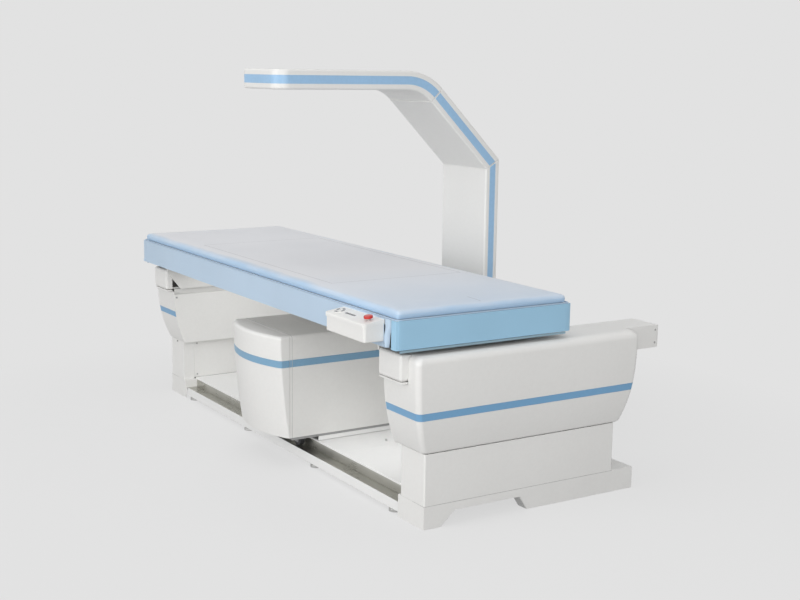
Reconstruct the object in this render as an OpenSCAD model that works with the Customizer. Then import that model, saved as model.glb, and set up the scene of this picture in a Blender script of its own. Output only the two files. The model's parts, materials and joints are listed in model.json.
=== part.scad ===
// Bone densitometer. A patient table shifts sideways on two beams, over a scanner box whose C-arm
// reaches round behind the table and over it. Box and C-arm travel along the base.
// X runs along the table, -Y is the operator's side and Z is up. The origin is at the bottom centre.

/* [Table] */
// Length over the skirts
table_len = 1950; // [1700:10:2200]
// Width over the skirts
table_w = 625; // [560:5:640]
// Distance from the machine's centre plane to the operator's edge of the table
table_front = 477; // [460:1:500]
// Height of the pad's top face
pad_top = 665; // [650:1:720]
// Thickness of the pad
pad_t = 28; // [15:1:40]
// Thickness of the tabletop board
board_t = 20; // [12:1:24]
// Height of the skirts below the pad
skirt_h = 85; // [60:1:88]
// Thickness of the skirt material
skirt_t = 3; // [2:0.5:4]
// Length of the end skirts' return round each corner
skirt_return = 26; // [15:1:40]
// Width and wall of the table frame's tubes
frame_tube = 30; // [20:1:40]
// Wall of the table frame's tubes
frame_wall = 3; // [2:0.5:5]
// Height of the frame's long tubes
frame_h = 40; // [30:1:50]

/* [Pedestals] */
// From the table's end to each pedestal's inner face
pedestal_inset = 166; // [150:1:190]
// Depth of the upper shell along X at its foot
shell_foot_w = 157; // [150:1:170]
// Flare of the upper shell, outwards and to both sides
shell_flare = 31; // [10:1:40]
// Half length of the upper shell at its foot, along Y
shell_foot_half = 374; // [370:1:400]
// Extra flare of the shell's two ends
shell_end_flare = 13; // [0:1:20]
// Height of the seam below the upper shell
shell_z0 = 230; // [200:1:260]
// Height of the shell's top face
shell_z1 = 530; // [520:1:545]
// Height of the inner panel's top edge
panel_top = 431; // [420:1:440]
// Radius along the shell's top edge
shell_edge_r = 25; // [10:1:30]
// Radius of the shell's outer corners
shell_corner_r = 22; // [10:1:40]
// Wall of the moulded covers
cover_t = 4; // [3:0.5:6]
// Depth of the stripes' groove
groove_d = 1; // [0.6:0.2:1.6]
// Height of the shell stripe's lower edge
shell_stripe_z = 339; // [320:1:370]
// Height of the shell stripe
shell_stripe_h = 23; // [10:1:40]
// Width of the lower cover along X
lower_w = 128; // [120:1:140]
// Lower cover's reach towards the operator
lower_front = 367; // [350:1:370]
// Lower cover's reach away from the operator
lower_back = 353; // [340:1:370]
// Return of the lower cover round its inner corners
lower_return = 45; // [30:1:80]
// Wall of the sheet-metal covers
sheet_t = 3; // [2:0.5:4]

/* [Base] */
// Height of the end plinths
plinth_h = 71; // [70:0.5:74]
// Plinth's reach away from the operator
plinth_back = 440; // [438:1:450]
// From the pedestals' inner face to the plinths' inner end
plinth_gap = 11; // [10:1:20]
// Width of the arch at the floor
arch_foot_w = 322; // [280:1:330]
// Width of the arch at its top
arch_top_w = 218; // [150:1:220]
// Height of the arch
arch_h = 45; // [30:1:46]
// Middle of the arch along Y
arch_y = -147; // [-165:1:-130]
// Depth of the arch's lining
arch_depth = 40; // [20:1:44]
// Top face of the chassis
chassis_top = 70; // [69:0.5:72]
// Underside of the chassis tubes
chassis_z0 = 30; // [28:1:34]
// Width of the long chassis tubes
chassis_w = 40; // [36:1:44]
// Height of the flat cross members
cross_h = 20; // [16:1:22]
// Width of the cross members
cross_w = 30; // [20:1:36]
// Wall of the chassis tubes
chassis_wall = 4; // [3:0.5:5]
// Height of the deck above the chassis
deck_h = 7; // [5:1:10]
// Sheet thickness of the deck and the front rail
deck_t = 2; // [1.5:0.5:3]
// Distance from the centre to the deck's seams
deck_seam = 394; // [300:1:450]
// Deck's reach towards the operator
deck_front = 317; // [310:1:325]
// Height of the front rail's ledge
ledge_z = 40; // [36:1:44]
// Ledge's reach towards the operator
ledge_front = 357; // [350:1:358]
// Radius of the levelling pads
foot_r = 32; // [24:1:34]
// Thickness of the levelling pads
foot_t = 9; // [6:1:12]
// From the pedestals' inner face in to the levelling feet
foot_inset = 24; // [23:1:80]

/* [Beams] */
// Width of the cross beams
beam_w = 118; // [100:1:120]
// Height of the cross beams
beam_h = 74; // [70:1:78]
// Underside of the cross beams
beam_z = 454; // [450:1:458]
// Gap from the pedestal's inner face plane to the beam
beam_inset = 15; // [10:1:20]
// Beam's reach towards the operator
beam_front = 438; // [430:1:445]
// Beam's reach away from the operator
beam_back = 540; // [500:1:560]
// Plate thickness of the beams
beam_t = 4; // [3:0.5:6]
// Thickness of the beams' end caps
cap_t = 6; // [4:1:10]
// Bulge of the front caps
cap_bulge = 5; // [2:1:8]
// How far the caps lap over the beams
cap_lap = 22; // [10:1:24]

/* [Scanner] */
// Width of the scanner box along X
box_w = 365; // [340:1:400]
// Rest place of the box's middle along X
box_x = 46; // [-100:1:100]
// Underside of the box
box_z0 = 102; // [98:1:104]
// Top of the box
box_z1 = 454; // [400:1:470]
// Front corners' reach at the top
box_front = 466; // [455:1:470]
// Front corners draw back at the foot
box_tuck = 30; // [10:1:34]
// Bulge of the front cover between its corners
box_bulge = 41; // [20:1:45]
// Seam between front cover and housing
box_seam = 428; // [400:1:430]
// Back of the box
box_back = 380; // [360:1:384]
// Radius along the box's top edges
box_edge_r = 12; // [6:1:18]
// Height of the box stripe's lower edge
box_stripe_z = 347; // [300:1:380]
// Height of the box stripe
box_stripe_h = 25; // [10:1:40]
// Thickness of the carriage plate
carriage_t = 8; // [6:1:10]
// Radius of the front rollers
roller_r = 25; // [20:0.5:26]
// Width of the front rollers
roller_w = 18; // [12:1:22]
// Half the distance between the front rollers
roller_half = 75; // [50:1:120]

/* [C-arm] */
// Width of the C-arm along X
arm_w = 280; // [220:1:320]
// Depth of the column
column_t = 58; // [50:1:60]
// Front face of the column
column_y = 388; // [386:1:392]
// Thickness of the arm and the slanted part
arm_t = 66; // [60:1:72]
// Height of the arm's top face
arm_top = 1328; // [1250:1:1400]
// Reach of the arm's tip towards the operator
arm_reach = 455; // [400:1:460]
// Outer radius of the bend above the slanted part
bend_r = 205; // [180:1:240]
// Middle of the bend along Y
bend_y = 49; // [20:1:60]
// Radius of the tip's corners in plan
tip_r = 50; // [20:1:90]
// Width of the trim strip
strip_w = 28; // [20:1:34]
// Thickness of the trim strip
strip_t = 1.4; // [1:0.1:1.6]

/* [Drives] */
// Pitch radius of the belt pulleys
pulley_r = 12; // [10:0.5:13]
// Width of the belt
belt_w = 15; // [10:1:15]
// Thickness of the belt
belt_t = 2; // [1.5:0.5:2.5]
// From the pedestals' inner face in to each pulley
pulley_inset = 19; // [17:1:60]
// Width of the scanner's guide rail
guide_w = 20; // [16:1:22]
// Height of the scanner's guide rail
guide_h = 18; // [16:1:20]
// Size of the table rails' square section
table_rail = 15; // [12:1:16]
// Radius of the leadscrews
screw_r = 6; // [5:0.5:7]

/* [Controls] */
// Length of the control box
control_len = 230; // [200:1:235]
// Depth of the control box
control_w = 68.5; // [60:0.5:75]
// From the table's end in to the control box
control_inset = 65; // [60:1:70]
// Underside of the control box
control_z0 = 568; // [562:1:575]
// Height of the control lid's front edge
control_z1 = 623; // [615:1:628]
// Rise of the lid towards the table
control_rise = 10; // [4:1:14]
// Thickness of the control lid
lid_t = 11; // [8:1:14]
// Outer radius of the ring of keys
keys_r = 21; // [16:0.5:22]
// Travel of the keys
key_travel = 1.2; // [0.8:0.1:2]
// Radius of the stop button's head
stop_r = 13.5; // [11:0.5:15]
// Travel of the stop button
stop_travel = 4; // [2:0.5:5]

/* [Fits] */
// Gap where a piece seats on another
seat = 0.3; // [0.2:0.05:0.4]
// Radial clearance of shafts in their bores
run_fit = 0.05; // [0.03:0.01:0.1]

/* [Hidden] */
$fn = 64;

// Colours
white = [0.93, 0.925, 0.905];
panel_grey = [0.80, 0.80, 0.775];
stripe_blue = [0.43, 0.62, 0.78];
cloth_blue = [0.62, 0.76, 0.87];
pad_grey = [0.84, 0.85, 0.88];
steel = [0.62, 0.62, 0.59];
dark = [0.16, 0.17, 0.19];

// Heights and edges shared by several pieces
weld = 1;
y_front = -table_front;
y_back = table_w - table_front;
table_edge = table_len / 2;
pedestal_inner = table_edge - pedestal_inset;
plinth_inner = pedestal_inner + plinth_gap;
foot_x = pedestal_inner - foot_inset;
pulley_x = pedestal_inner - pulley_inset;
control_end = table_edge - control_inset;
pad_edge = skirt_t + seat;
z_pad = pad_top - pad_t;
z_board = z_pad - board_t;
z_skirt = z_pad - skirt_h;
corner_gap = 3;
shell_overhang = 26;
lower_inner = pedestal_inner + shell_overhang;
lower_outer = lower_inner + lower_w;
beam_x = pedestal_inner + beam_inset;
beam_x1 = beam_x + beam_w;
beam_top = beam_z + beam_h;
slot_z = beam_z - cap_t / 2 - 8;
chassis_front = deck_front - deck_t;
chassis_end = lower_outer - cover_t - arch_depth - seat;
guide_y = 395;
guide_base = 62;
carriage_top = box_z0 - seat;
carriage_z = carriage_top - carriage_t;
column_back = column_y + column_t;
bend_z = arm_top - bend_r;
box_half = box_w / 2;
scan_y = (y_front + y_back) / 2;

// Small shared helpers
module block(x0, x1, y0, y1, z0, z1) {
    translate([x0, y0, z0]) cube([x1 - x0, y1 - y0, z1 - z0]);
}

module pair() {
    children();
    mirror([1, 0, 0]) children();
}

module along_x(x0, x1) {
    translate([x0, 0, 0]) rotate([90, 0, 90]) linear_extrude(x1 - x0) children();
}

module along_y(y0, y1) {
    translate([0, y1, 0]) rotate([90, 0, 0]) linear_extrude(y1 - y0) children();
}

module along_z(z0, z1) {
    translate([0, 0, z0]) linear_extrude(z1 - z0) children();
}

module rod_y(x, z, y0, y1, r) {
    translate([x, y1, z]) rotate([90, 0, 0]) cylinder(r = r, h = y1 - y0);
}

module rod_z(x, y, z0, z1, r) {
    translate([x, y, z0]) cylinder(r = r, h = z1 - z0);
}

function arc(cx, cy, r, a0, a1, n) =
    [for (i = [0:n]) let (a = a0 + (a1 - a0) * i / n) [cx + r * cos(a), cy + r * sin(a)]];

// How far a rounded edge has drawn in, a height h above the start of its radius r
function edge_inset(h, r) = h <= 0 ? 0 : r - sqrt(max(r * r - h * h, 0));

// Levels up a rounded edge, closer together near its end
function edge_levels(z, r, n) = [for (i = [0:n]) z + r * sin(90 * i / n)];

// A skin through rings of equal count, each a list [height, outline], closed at both ends
module loft(rings) {
    count = len(rings[0][1]);
    points = [for (ring = rings) for (p = ring[1]) [p[0], p[1], ring[0]]];
    base = [for (i = [0:count - 1]) i];
    top = [for (i = [count - 1:-1:0]) (len(rings) - 1) * count + i];
    sides = [
        for (k = [0:len(rings) - 2]) for (i = [0:count - 1])
            let (j = (i + 1) % count) [k * count + i, (k + 1) * count + i, (k + 1) * count + j, k * count + j]
    ];
    polyhedron(points, concat([base], sides, [top]));
}

// ---- Chassis and base covers ----

belt_z = 52;
axle_r = 4;
stem_r = 6;
plinth_lip = 12;
outrigger_half = 22;
outrigger_x = [-foot_x, -foot_x / 3, foot_x / 3, foot_x];
outrigger_z = ledge_z - deck_t - 16;
side_plate_t = 2.5;
foot_y = -(ledge_front - outrigger_half / 2);
rear_tube_y0 = guide_y - chassis_w / 2;
rear_tube_y1 = guide_y + chassis_w / 2;
belt_y0 = rear_tube_y1 + 3;
cross_xs = [deck_seam, pedestal_inner + 41 + cross_w / 2, chassis_end - cross_w / 2];

module chassis_tube(y0, z1) {
    difference() {
        block(-chassis_end, chassis_end, y0, y0 + chassis_w, chassis_z0, z1);
        block(
            -chassis_end - 1, chassis_end + 1, y0 + chassis_wall, y0 + chassis_w - chassis_wall,
            chassis_z0 + chassis_wall, z1 - chassis_wall
        );
    }
}

module base_frame() {
    color(steel) difference() {
        union() {
            chassis_tube(-chassis_front, chassis_top);
            chassis_tube(rear_tube_y0, guide_base);
            pair() for (x = cross_xs) {
                x0 = x - cross_w / 2;
                x1 = x + cross_w / 2;
                step_y = lower_back - plinth_lip - seat;
                y0 = chassis_w - chassis_front - weld;
                block(x0, x1, y0, step_y, chassis_top - cross_h, chassis_top);
                block(
                    x0, x1, step_y - weld, rear_tube_y0 + weld,
                    chassis_top - cross_h, plinth_h - cover_t - seat
                );
            }
            for (x = outrigger_x) {
                block(
                    x - outrigger_half, x + outrigger_half, -ledge_front, weld - chassis_front,
                    outrigger_z, ledge_z - deck_t
                );
                block(
                    x - outrigger_half, x + outrigger_half, rear_tube_y1 - weld, plinth_back - sheet_t,
                    chassis_z0, chassis_z0 + chassis_wall
                );
            }
            rod_y(pulley_x, belt_z, rear_tube_y1 - 1, belt_y0 + belt_w, axle_r);
        }
        rod_y(-pulley_x, belt_z, rear_tube_y0 - 1, rear_tube_y1 + 1, axle_r + run_fit);
        pair() rod_z(foot_x, foot_y, outrigger_z - 1, ledge_z, stem_r + run_fit);
        pair() rod_z(foot_x, guide_y, chassis_z0 - 1, chassis_z0 + chassis_wall + 1, stem_r + run_fit);
    }
}

module levelling_foot(y, under, stem_top) {
    nut_h = 8;
    translate([foot_x, y, 0]) {
        rotate_extrude() polygon([
            [0, 0], [foot_r, 0], [foot_r, foot_t * 0.6], [foot_r * 0.85, foot_t],
            [stem_r + 1, foot_t], [stem_r, foot_t + 1], [stem_r, stem_top], [0, stem_top],
        ]);
        difference() {
            rod_z(0, 0, under - nut_h, under, stem_r * 1.8, $fn = 6);
            rod_z(0, 0, under - nut_h - 1, under + 1, stem_r + run_fit, $fn = 64);
        }
    }
}

module levelling_feet() {
    color(steel) pair() {
        levelling_foot(foot_y, outrigger_z, ledge_z - deck_t - 1);
        levelling_foot(guide_y, chassis_z0, chassis_z0 + 14);
    }
}

inlet_x = lower_outer - 75;
inlet_z = 34;
inlet_w = 50;
inlet_h = 32;
inlet_d = 20;

// Side view of the arch from z0 up, grown by g
module arch_outline(z0, g) {
    foot = arch_foot_w / 2 + g;
    top = arch_top_w / 2 + g / 2;
    polygon([
        [arch_y - foot, z0], [arch_y + foot, z0], [arch_y + top, arch_h + g / 2], [arch_y - top, arch_h + g / 2],
    ]);
}

// Wall that closes a plinth's inner end, clear of the deck in front and of the tube behind
module plinth_inner_walls() {
    x1 = plinth_inner + cover_t;
    block(
        plinth_inner, x1, weld - lower_front, -deck_front - seat,
        ledge_z + seat, plinth_h - weld
    );
    difference() {
        block(plinth_inner, x1, rear_tube_y0 - 4, plinth_back - weld, foot_t, plinth_h - weld);
        block(
            plinth_inner - 1, x1 + 1, rear_tube_y0 - 5, rear_tube_y1 + seat,
            0, guide_base + seat
        );
    }
}

module end_plinth() {
    lip = plinth_lip;
    top_z = plinth_h - cover_t - 1;
    lining = 3;
    difference() {
        union() {
            difference() {
                block(plinth_inner, lower_outer, -lower_front, plinth_back, 0, plinth_h);
                block(
                    plinth_inner - 1, lower_outer - cover_t, cover_t - lower_front, plinth_back - cover_t,
                    -1, plinth_h - cover_t
                );
                block(
                    lower_inner + lip, lower_outer - cover_t, lip - lower_front, lower_back - lip,
                    top_z, plinth_h + 1
                );
                block(
                    plinth_inner - 1, lower_inner + lip + 1, -deck_front - seat, rear_tube_y0 - 4,
                    top_z, plinth_h + 1
                );
            }
            plinth_inner_walls();
            along_x(lower_outer - cover_t - arch_depth, lower_outer - weld) arch_outline(0, lining);
        }
        along_x(lower_outer - cover_t - arch_depth - 1, lower_outer + 1) arch_outline(-1, 0);
    }
}

module end_plinths() {
    color(white) {
        mirror([1, 0, 0]) end_plinth();
        difference() {
            end_plinth();
            block(
                inlet_x - inlet_w / 2 + 4, inlet_x + inlet_w / 2 - 4,
                plinth_back - cover_t - 1, plinth_back + 1,
                inlet_z - inlet_h / 2 + 4, inlet_z + inlet_h / 2 - 4
            );
        }
    }
}

module side_plates() {
    half = plinth_inner - seat;
    color(white) {
        block(-half, half, -ledge_front - side_plate_t, -ledge_front, foot_t, ledge_z);
        block(-half, half, plinth_back - sheet_t, plinth_back, foot_t, plinth_h);
    }
}

// Two stainless strips: the ledge that the rollers run on, and the riser that stands behind it
module front_rail() {
    color(steel) {
        block(-lower_inner, lower_inner, -ledge_front, -chassis_front, ledge_z - deck_t, ledge_z);
        block(-lower_inner, lower_inner, -deck_front, -chassis_front, ledge_z + seat, chassis_top);
    }
}

module deck_panel(x0, x1) {
    back = rear_tube_y0 - 5;
    difference() {
        block(x0, x1, -deck_front, back, chassis_top, chassis_top + deck_h);
        block(
            x0 + deck_t, x1 - deck_t, deck_t - deck_front, back - deck_t,
            chassis_top - 1, chassis_top + deck_h - deck_t
        );
    }
}

module deck_panels() {
    seam = 0.8;
    color(white) {
        deck_panel(seam - deck_seam, deck_seam - seam);
        pair() deck_panel(deck_seam, lower_inner - seat);
    }
}

// ---- Scanner drive ----

module scanner_rail() {
    end = plinth_inner - 5;
    color(steel) difference() {
        block(
            -end, end, guide_y - guide_w / 2, guide_y + guide_w / 2,
            guide_base, guide_base + guide_h
        );
        for (side = [-1, 1]) {
            block(
                -end - 1, end + 1, guide_y + side * guide_w / 2 - 2, guide_y + side * guide_w / 2 + 2,
                guide_base + guide_h * 0.45, guide_base + guide_h * 0.7
            );
        }
    }
}

module belt_loop(r) {
    for (x = [-pulley_x, pulley_x]) translate([x, belt_z]) circle(r = r);
    translate([-pulley_x, belt_z - r]) square([2 * pulley_x, 2 * r]);
}

module drive_belt() {
    inner = pulley_r + 2 * run_fit;
    color(dark) along_y(belt_y0, belt_y0 + belt_w) difference() {
        belt_loop(inner + belt_t);
        belt_loop(inner);
    }
}

motor_half = 19;
motor_len = 74;

module drive_motor() {
    back = rear_tube_y0 - seat;
    color(dark) difference() {
        union() {
            block(
                -pulley_x - motor_half, -pulley_x + motor_half, back - motor_len * 0.35, back,
                belt_z - motor_half + 1, belt_z + motor_half - 1
            );
            rod_y(-pulley_x, belt_z, back - motor_len, back - motor_len * 0.35, motor_half - 1);
        }
        rod_y(-pulley_x, belt_z, back - 12, back + 1, axle_r + run_fit);
    }
}

module pulley(x) {
    flange = 1.2;
    rod_y(x, belt_z, belt_y0 - seat, belt_y0 + belt_w, pulley_r);
    rod_y(x, belt_z, belt_y0 - flange - seat, belt_y0 - seat, pulley_r + 1.5);
}

module drive_pulley() {
    color(steel) {
        pulley(-pulley_x);
        rod_y(-pulley_x, belt_z, rear_tube_y0 - 12, belt_y0 + 1, axle_r);
    }
}

module idler_pulley() {
    color(steel) difference() {
        pulley(pulley_x);
        rod_y(pulley_x, belt_z, belt_y0 - 5, belt_y0 + belt_w + 1, axle_r + run_fit);
    }
}

// ---- Pedestals ----

post_x = pedestal_inner + 81;
post_w = 70;
post_d = 60;
post_ys = [-250, 260];

module pedestal_frames() {
    half = post_w / 2 + 6;
    y0 = post_ys[0] - post_d;
    y1 = post_ys[1] + post_d;
    plate = 8;
    color(steel) pair() difference() {
        union() {
            block(post_x - half, post_x + half, y0, y1, chassis_top, chassis_top + plate);
            block(post_x - half, post_x + half, y0, y1, beam_z - plate, beam_z);
            for (y = post_ys) {
                block(
                    post_x - post_w / 2, post_x + post_w / 2, y - post_d / 2, y + post_d / 2,
                    chassis_top, beam_z
                );
            }
        }
        for (y = post_ys) {
            block(
                post_x - post_w / 2 + 4, post_x + post_w / 2 - 4, y - post_d / 2 + 4,
                y + post_d / 2 - 4, chassis_top + plate, beam_z - plate
            );
        }
    }
}

module lower_outline(d) {
    r = 5;
    x1 = lower_outer - d;
    y0 = -lower_front + d;
    y1 = lower_back - d;
    translate([lower_inner, y0 + r]) square([lower_w - d, y1 - y0 - 2 * r]);
    translate([lower_inner, y0]) square([lower_w - d - r, y1 - y0]);
    for (y = [y0 + r, y1 - r]) translate([x1 - r, y]) circle(r = r);
}

module lower_covers() {
    color(white) pair() difference() {
        along_z(plinth_h, shell_z0) lower_outline(0);
        along_z(plinth_h - 1, shell_z0 + 1) difference() {
            translate([sheet_t, 0]) lower_outline(2 * sheet_t);
        }
        block(
            lower_inner - 1, lower_inner + sheet_t + 1, lower_return - lower_front,
            lower_back - lower_return, plinth_h - 1, shell_z0 + 1
        );
    }
}

module lower_panels() {
    color(panel_grey) pair() block(
        lower_inner, lower_inner + sheet_t, lower_return - lower_front + seat,
        lower_back - lower_return - seat, chassis_top + deck_h + seat, shell_z0 - seat
    );
}

shell_steps = 7;
groove_side = 0.4;
shell_foot_r = 6;
function shell_t(z) = (z - shell_z0) / (shell_z1 - shell_z0);
function flare(z) = 1 - pow(1 - min(max(shell_t(z), 0), 1), 3);
function shell_x(z) = pedestal_inner + shell_foot_w + shell_flare * flare(z);
function shell_y(z) = shell_foot_half + (shell_flare + shell_end_flare) * flare(z);

// Plan of the shell at a height: x0 is its open side, d its inset and t the wall left outside it
function shell_ring(z, x0, d, t) =
    let (
        e = edge_inset(z - shell_z1 + shell_edge_r, shell_edge_r - t)
            + edge_inset(shell_z0 + shell_foot_r - z, shell_foot_r) * (t > 0 ? 0 : 1),
        x1 = shell_x(z) - d - e,
        y1 = shell_y(z) - d - e,
        r = shell_corner_r - d
    )
    [z, concat(
        [[x0, -y1]], arc(x1 - r, r - y1, r, -90, 0, 6), arc(x1 - r, y1 - r, r, 0, 90, 6), [[x0, y1]]
    )];

function shell_levels(z0, z1) = [for (i = [0:shell_steps]) z0 + (z1 - z0) * i / shell_steps];

module shell_skin(x0) {
    side = groove_side;
    stripe_top = shell_stripe_z + shell_stripe_h;
    foot = [for (a = [0:30:60]) shell_z0 + shell_foot_r * (1 - cos(a))];
    edge = edge_levels(shell_z1 - shell_edge_r, shell_edge_r, 6);
    loft(concat(
        [for (z = foot) shell_ring(z, x0, 0, 0)],
        [for (z = shell_levels(shell_z0 + shell_foot_r, shell_stripe_z - side)) shell_ring(z, x0, 0, 0)],
        [for (z = [shell_stripe_z, stripe_top]) shell_ring(z, x0, groove_d, 0)],
        [for (z = shell_levels(stripe_top + side, edge[0] - 1)) shell_ring(z, x0, 0, 0)],
        [for (z = edge) shell_ring(z, x0, 0, 0)]
    ));
}

module upper_shell() {
    x0 = pedestal_inner + sheet_t + seat;
    edge = edge_levels(shell_z1 - shell_edge_r, shell_edge_r - cover_t, 6);
    difference() {
        shell_skin(x0);
        loft(concat(
            [for (z = shell_levels(shell_z0 + cover_t, edge[0] - 1)) shell_ring(z, x0 - 1, cover_t, cover_t)],
            [for (z = edge) shell_ring(z, x0 - 1, cover_t, cover_t)]
        ));
        block(
            x0 - 1, beam_x1 + cap_t / 2 + seat, -beam_front, beam_back,
            slot_z + seat, shell_z1 + 1
        );
        block(
            x0 - 1, post_x + post_w, post_ys[0] - post_d - seat, post_ys[1] + post_d + seat,
            shell_z0 - 1, shell_z0 + cover_t + 1
        );
    }
}

module upper_shell_left() {
    color(white) mirror([1, 0, 0]) upper_shell();
}

module upper_shell_right() {
    color(white) upper_shell();
}

module upper_panels() {
    zs = shell_levels(shell_z0, panel_top);
    side = [for (z = zs) [shell_y(z), z]];
    other = [for (i = [len(zs) - 1:-1:0]) [-side[i][0], side[i][1]]];
    color(panel_grey) pair() along_x(pedestal_inner, pedestal_inner + sheet_t)
        polygon(concat(side, other));
}

module shell_stripes() {
    gap = 0.1;
    x0 = pedestal_inner + sheet_t + seat;
    zs = [shell_stripe_z + gap, shell_stripe_z + shell_stripe_h / 2, shell_stripe_z + shell_stripe_h - gap];
    color(stripe_blue) pair() difference() {
        loft([for (z = zs) shell_ring(z, x0, 0, 0)]);
        loft([for (z = [zs[0] - 1, zs[1], zs[2] + 1]) shell_ring(z, x0 - 1, groove_d - gap, 0)]);
    }
}

// ---- Cross beams and table guides ----

rail_z = beam_z + beam_h / 2;
rail_back = beam_x1 - beam_t;
screw_x = beam_x + 44;
screw_z = beam_z + 54;
screw_y0 = -beam_front + 14;
screw_y1 = beam_back - 94;
lug_t = 12;

module cross_beam() {
    difference() {
        block(beam_x, beam_x1, -beam_front, beam_back, beam_z, beam_top);
        block(
            beam_x - 1, beam_x1 - beam_t, -beam_front - 1, beam_back + 1,
            beam_z + beam_t, beam_top - beam_t
        );
    }
    difference() {
        for (y = [screw_y0, screw_y1]) {
            block(screw_x - 16, beam_x1 - beam_t, y, y + lug_t, beam_z + beam_t, beam_top - beam_t);
        }
        rod_y(screw_x, screw_z, screw_y0 - 1, screw_y1 + lug_t + 1, axle_r + run_fit);
        block(
            rail_back - table_rail - seat, beam_x1, screw_y0 - 1, screw_y1 + lug_t + 1,
            rail_z - table_rail / 2 - seat, rail_z + table_rail / 2 + seat
        );
    }
}

module cross_beams() {
    color(white) pair() cross_beam();
}

module front_cap_plan() {
    n = 12;
    half = beam_w / 2 + cap_t / 2;
    y0 = -beam_front - cap_t / 2;
    front = [for (i = [0:n]) [half * (2 * i / n - 1), y0 - cap_bulge * (1 - pow(2 * i / n - 1, 2))]];
    translate([beam_x + beam_w / 2, 0]) polygon(concat(
        front, [[half, cap_lap - beam_front], [-half, cap_lap - beam_front]]
    ));
}

module front_cap() {
    wall = cap_t / 2;
    difference() {
        along_z(beam_z - wall, beam_top + wall) front_cap_plan();
        block(beam_x - seat / 2, beam_x1 + seat / 2, -beam_front, 0, beam_z - seat / 2, beam_top + seat / 2);
    }
}

module rear_cap() {
    wall = cap_t / 2;
    chamfer = 4;
    difference() {
        along_z(beam_z - wall, beam_top + wall) polygon([
            [beam_x - wall, beam_back - cap_lap], [beam_x1 + wall, beam_back - cap_lap],
            [beam_x1 + wall, beam_back + cap_t - chamfer], [beam_x1 + wall - chamfer, beam_back + cap_t],
            [beam_x - wall + chamfer, beam_back + cap_t], [beam_x - wall, beam_back + cap_t - chamfer],
        ]);
        block(
            beam_x - seat / 2, beam_x1 + seat / 2, 0, beam_back,
            beam_z - seat / 2, beam_top + seat / 2
        );
    }
}

module beam_caps() {
    color(white) pair() {
        front_cap();
        rear_cap();
    }
}

module table_rails() {
    color(steel) pair() difference() {
        block(
            rail_back - table_rail, rail_back, screw_y0, screw_y1 + lug_t,
            rail_z - table_rail / 2, rail_z + table_rail / 2
        );
        for (side = [-1, 1]) {
            block(
                rail_back - table_rail * 0.7, rail_back - table_rail * 0.4, -beam_front, beam_back,
                rail_z + side * table_rail / 2 - 1.5, rail_z + side * table_rail / 2 + 1.5
            );
        }
    }
}

module table_motors() {
    y0 = screw_y1 + lug_t;
    color(dark) pair() difference() {
        union() {
            block(screw_x - 22, screw_x + 22, y0, y0 + 26, screw_z - 20, beam_top - beam_t);
            rod_y(screw_x, screw_z - 3, y0 + 26, y0 + 74, 18);
        }
        rod_y(screw_x, screw_z, y0 - 1, y0 + 14, axle_r + run_fit);
    }
}

module leadscrew() {
    rod_y(screw_x, screw_z, screw_y0, screw_y1 + lug_t + 12, axle_r);
    rod_y(screw_x, screw_z, screw_y0 + lug_t + seat, screw_y1 - seat, screw_r);
}

module leadscrew_left() {
    color(steel) mirror([1, 0, 0]) leadscrew();
}

module leadscrew_right() {
    color(steel) leadscrew();
}

block_w = 34;
block_len = 62;
block_depth = 28;
block_ys = [-335, 20];
nut_y = -150;
runner_y0 = -441;
runner_y1 = 95;
runner_t = 6;
plate_x = beam_x - 4 - runner_t;
table_gap = 28;
cross_z0 = beam_top + table_gap;

module bearing_blocks() {
    color(steel) pair() difference() {
        for (y = block_ys) {
            block(
                rail_back - block_depth, rail_back - seat * 10, y, y + block_len,
                rail_z - block_w / 2, rail_z + block_w / 2
            );
        }
        block(
            rail_back - table_rail - seat, rail_back, -beam_front, beam_back,
            rail_z - table_rail / 2 - seat, rail_z + table_rail / 2 + seat
        );
    }
}

module runner_outline() {
    face_x = rail_back - block_depth;
    web_z0 = rail_z - 5;
    web_z1 = rail_z + 3;
    polygon([
        [plate_x, beam_z - 1], [plate_x + runner_t, beam_z - 1], [plate_x + runner_t, web_z0],
        [face_x - runner_t, web_z0], [face_x - runner_t, rail_z - 20], [face_x, rail_z - 20],
        [face_x, rail_z + 20], [face_x - runner_t, rail_z + 20], [face_x - runner_t, web_z1],
        [plate_x + runner_t, web_z1], [plate_x + runner_t, cross_z0], [plate_x, cross_z0],
    ]);
}

module table_runners() {
    slant_x0 = 57;
    nut_half = 13;
    color(panel_grey) pair() difference() {
        union() {
            along_y(runner_y0, runner_y1) runner_outline();
            block(
                screw_x - nut_half, screw_x + nut_half, nut_y - 17, nut_y + 17,
                rail_z + 2, beam_top - beam_t - 2
            );
        }
        along_x(plate_x - 1, beam_x1) polygon([
            [runner_y0 - 1, beam_z - 2], [runner_y0 + slant_x0, beam_z - 2],
            [runner_y0, beam_top - 2], [runner_y0 - 1, beam_top - 2],
        ]);
        block(plate_x + runner_t + 1, beam_x1, runner_y0 - 1, runner_y0 + slant_x0, beam_z, beam_top);
        rod_y(screw_x, screw_z, nut_y - 18, nut_y + 18, screw_r + run_fit);
    }
}

// ---- Scanner box ----

module box_profile(d) {
    r = box_edge_r - d;
    half = box_half - d;
    top = box_z1 - d;
    translate([box_x - half, box_z0 - d]) square([2 * half, top - r - box_z0 + d]);
    translate([box_x - half + r, top - r - 1]) square([2 * half - 2 * r, r + 1]);
    for (s = [-1, 1]) translate([box_x + s * (half - r), top - r]) circle(r = r);
}

window_w = 126;
window_l = 246;
window_t = 2;

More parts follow.
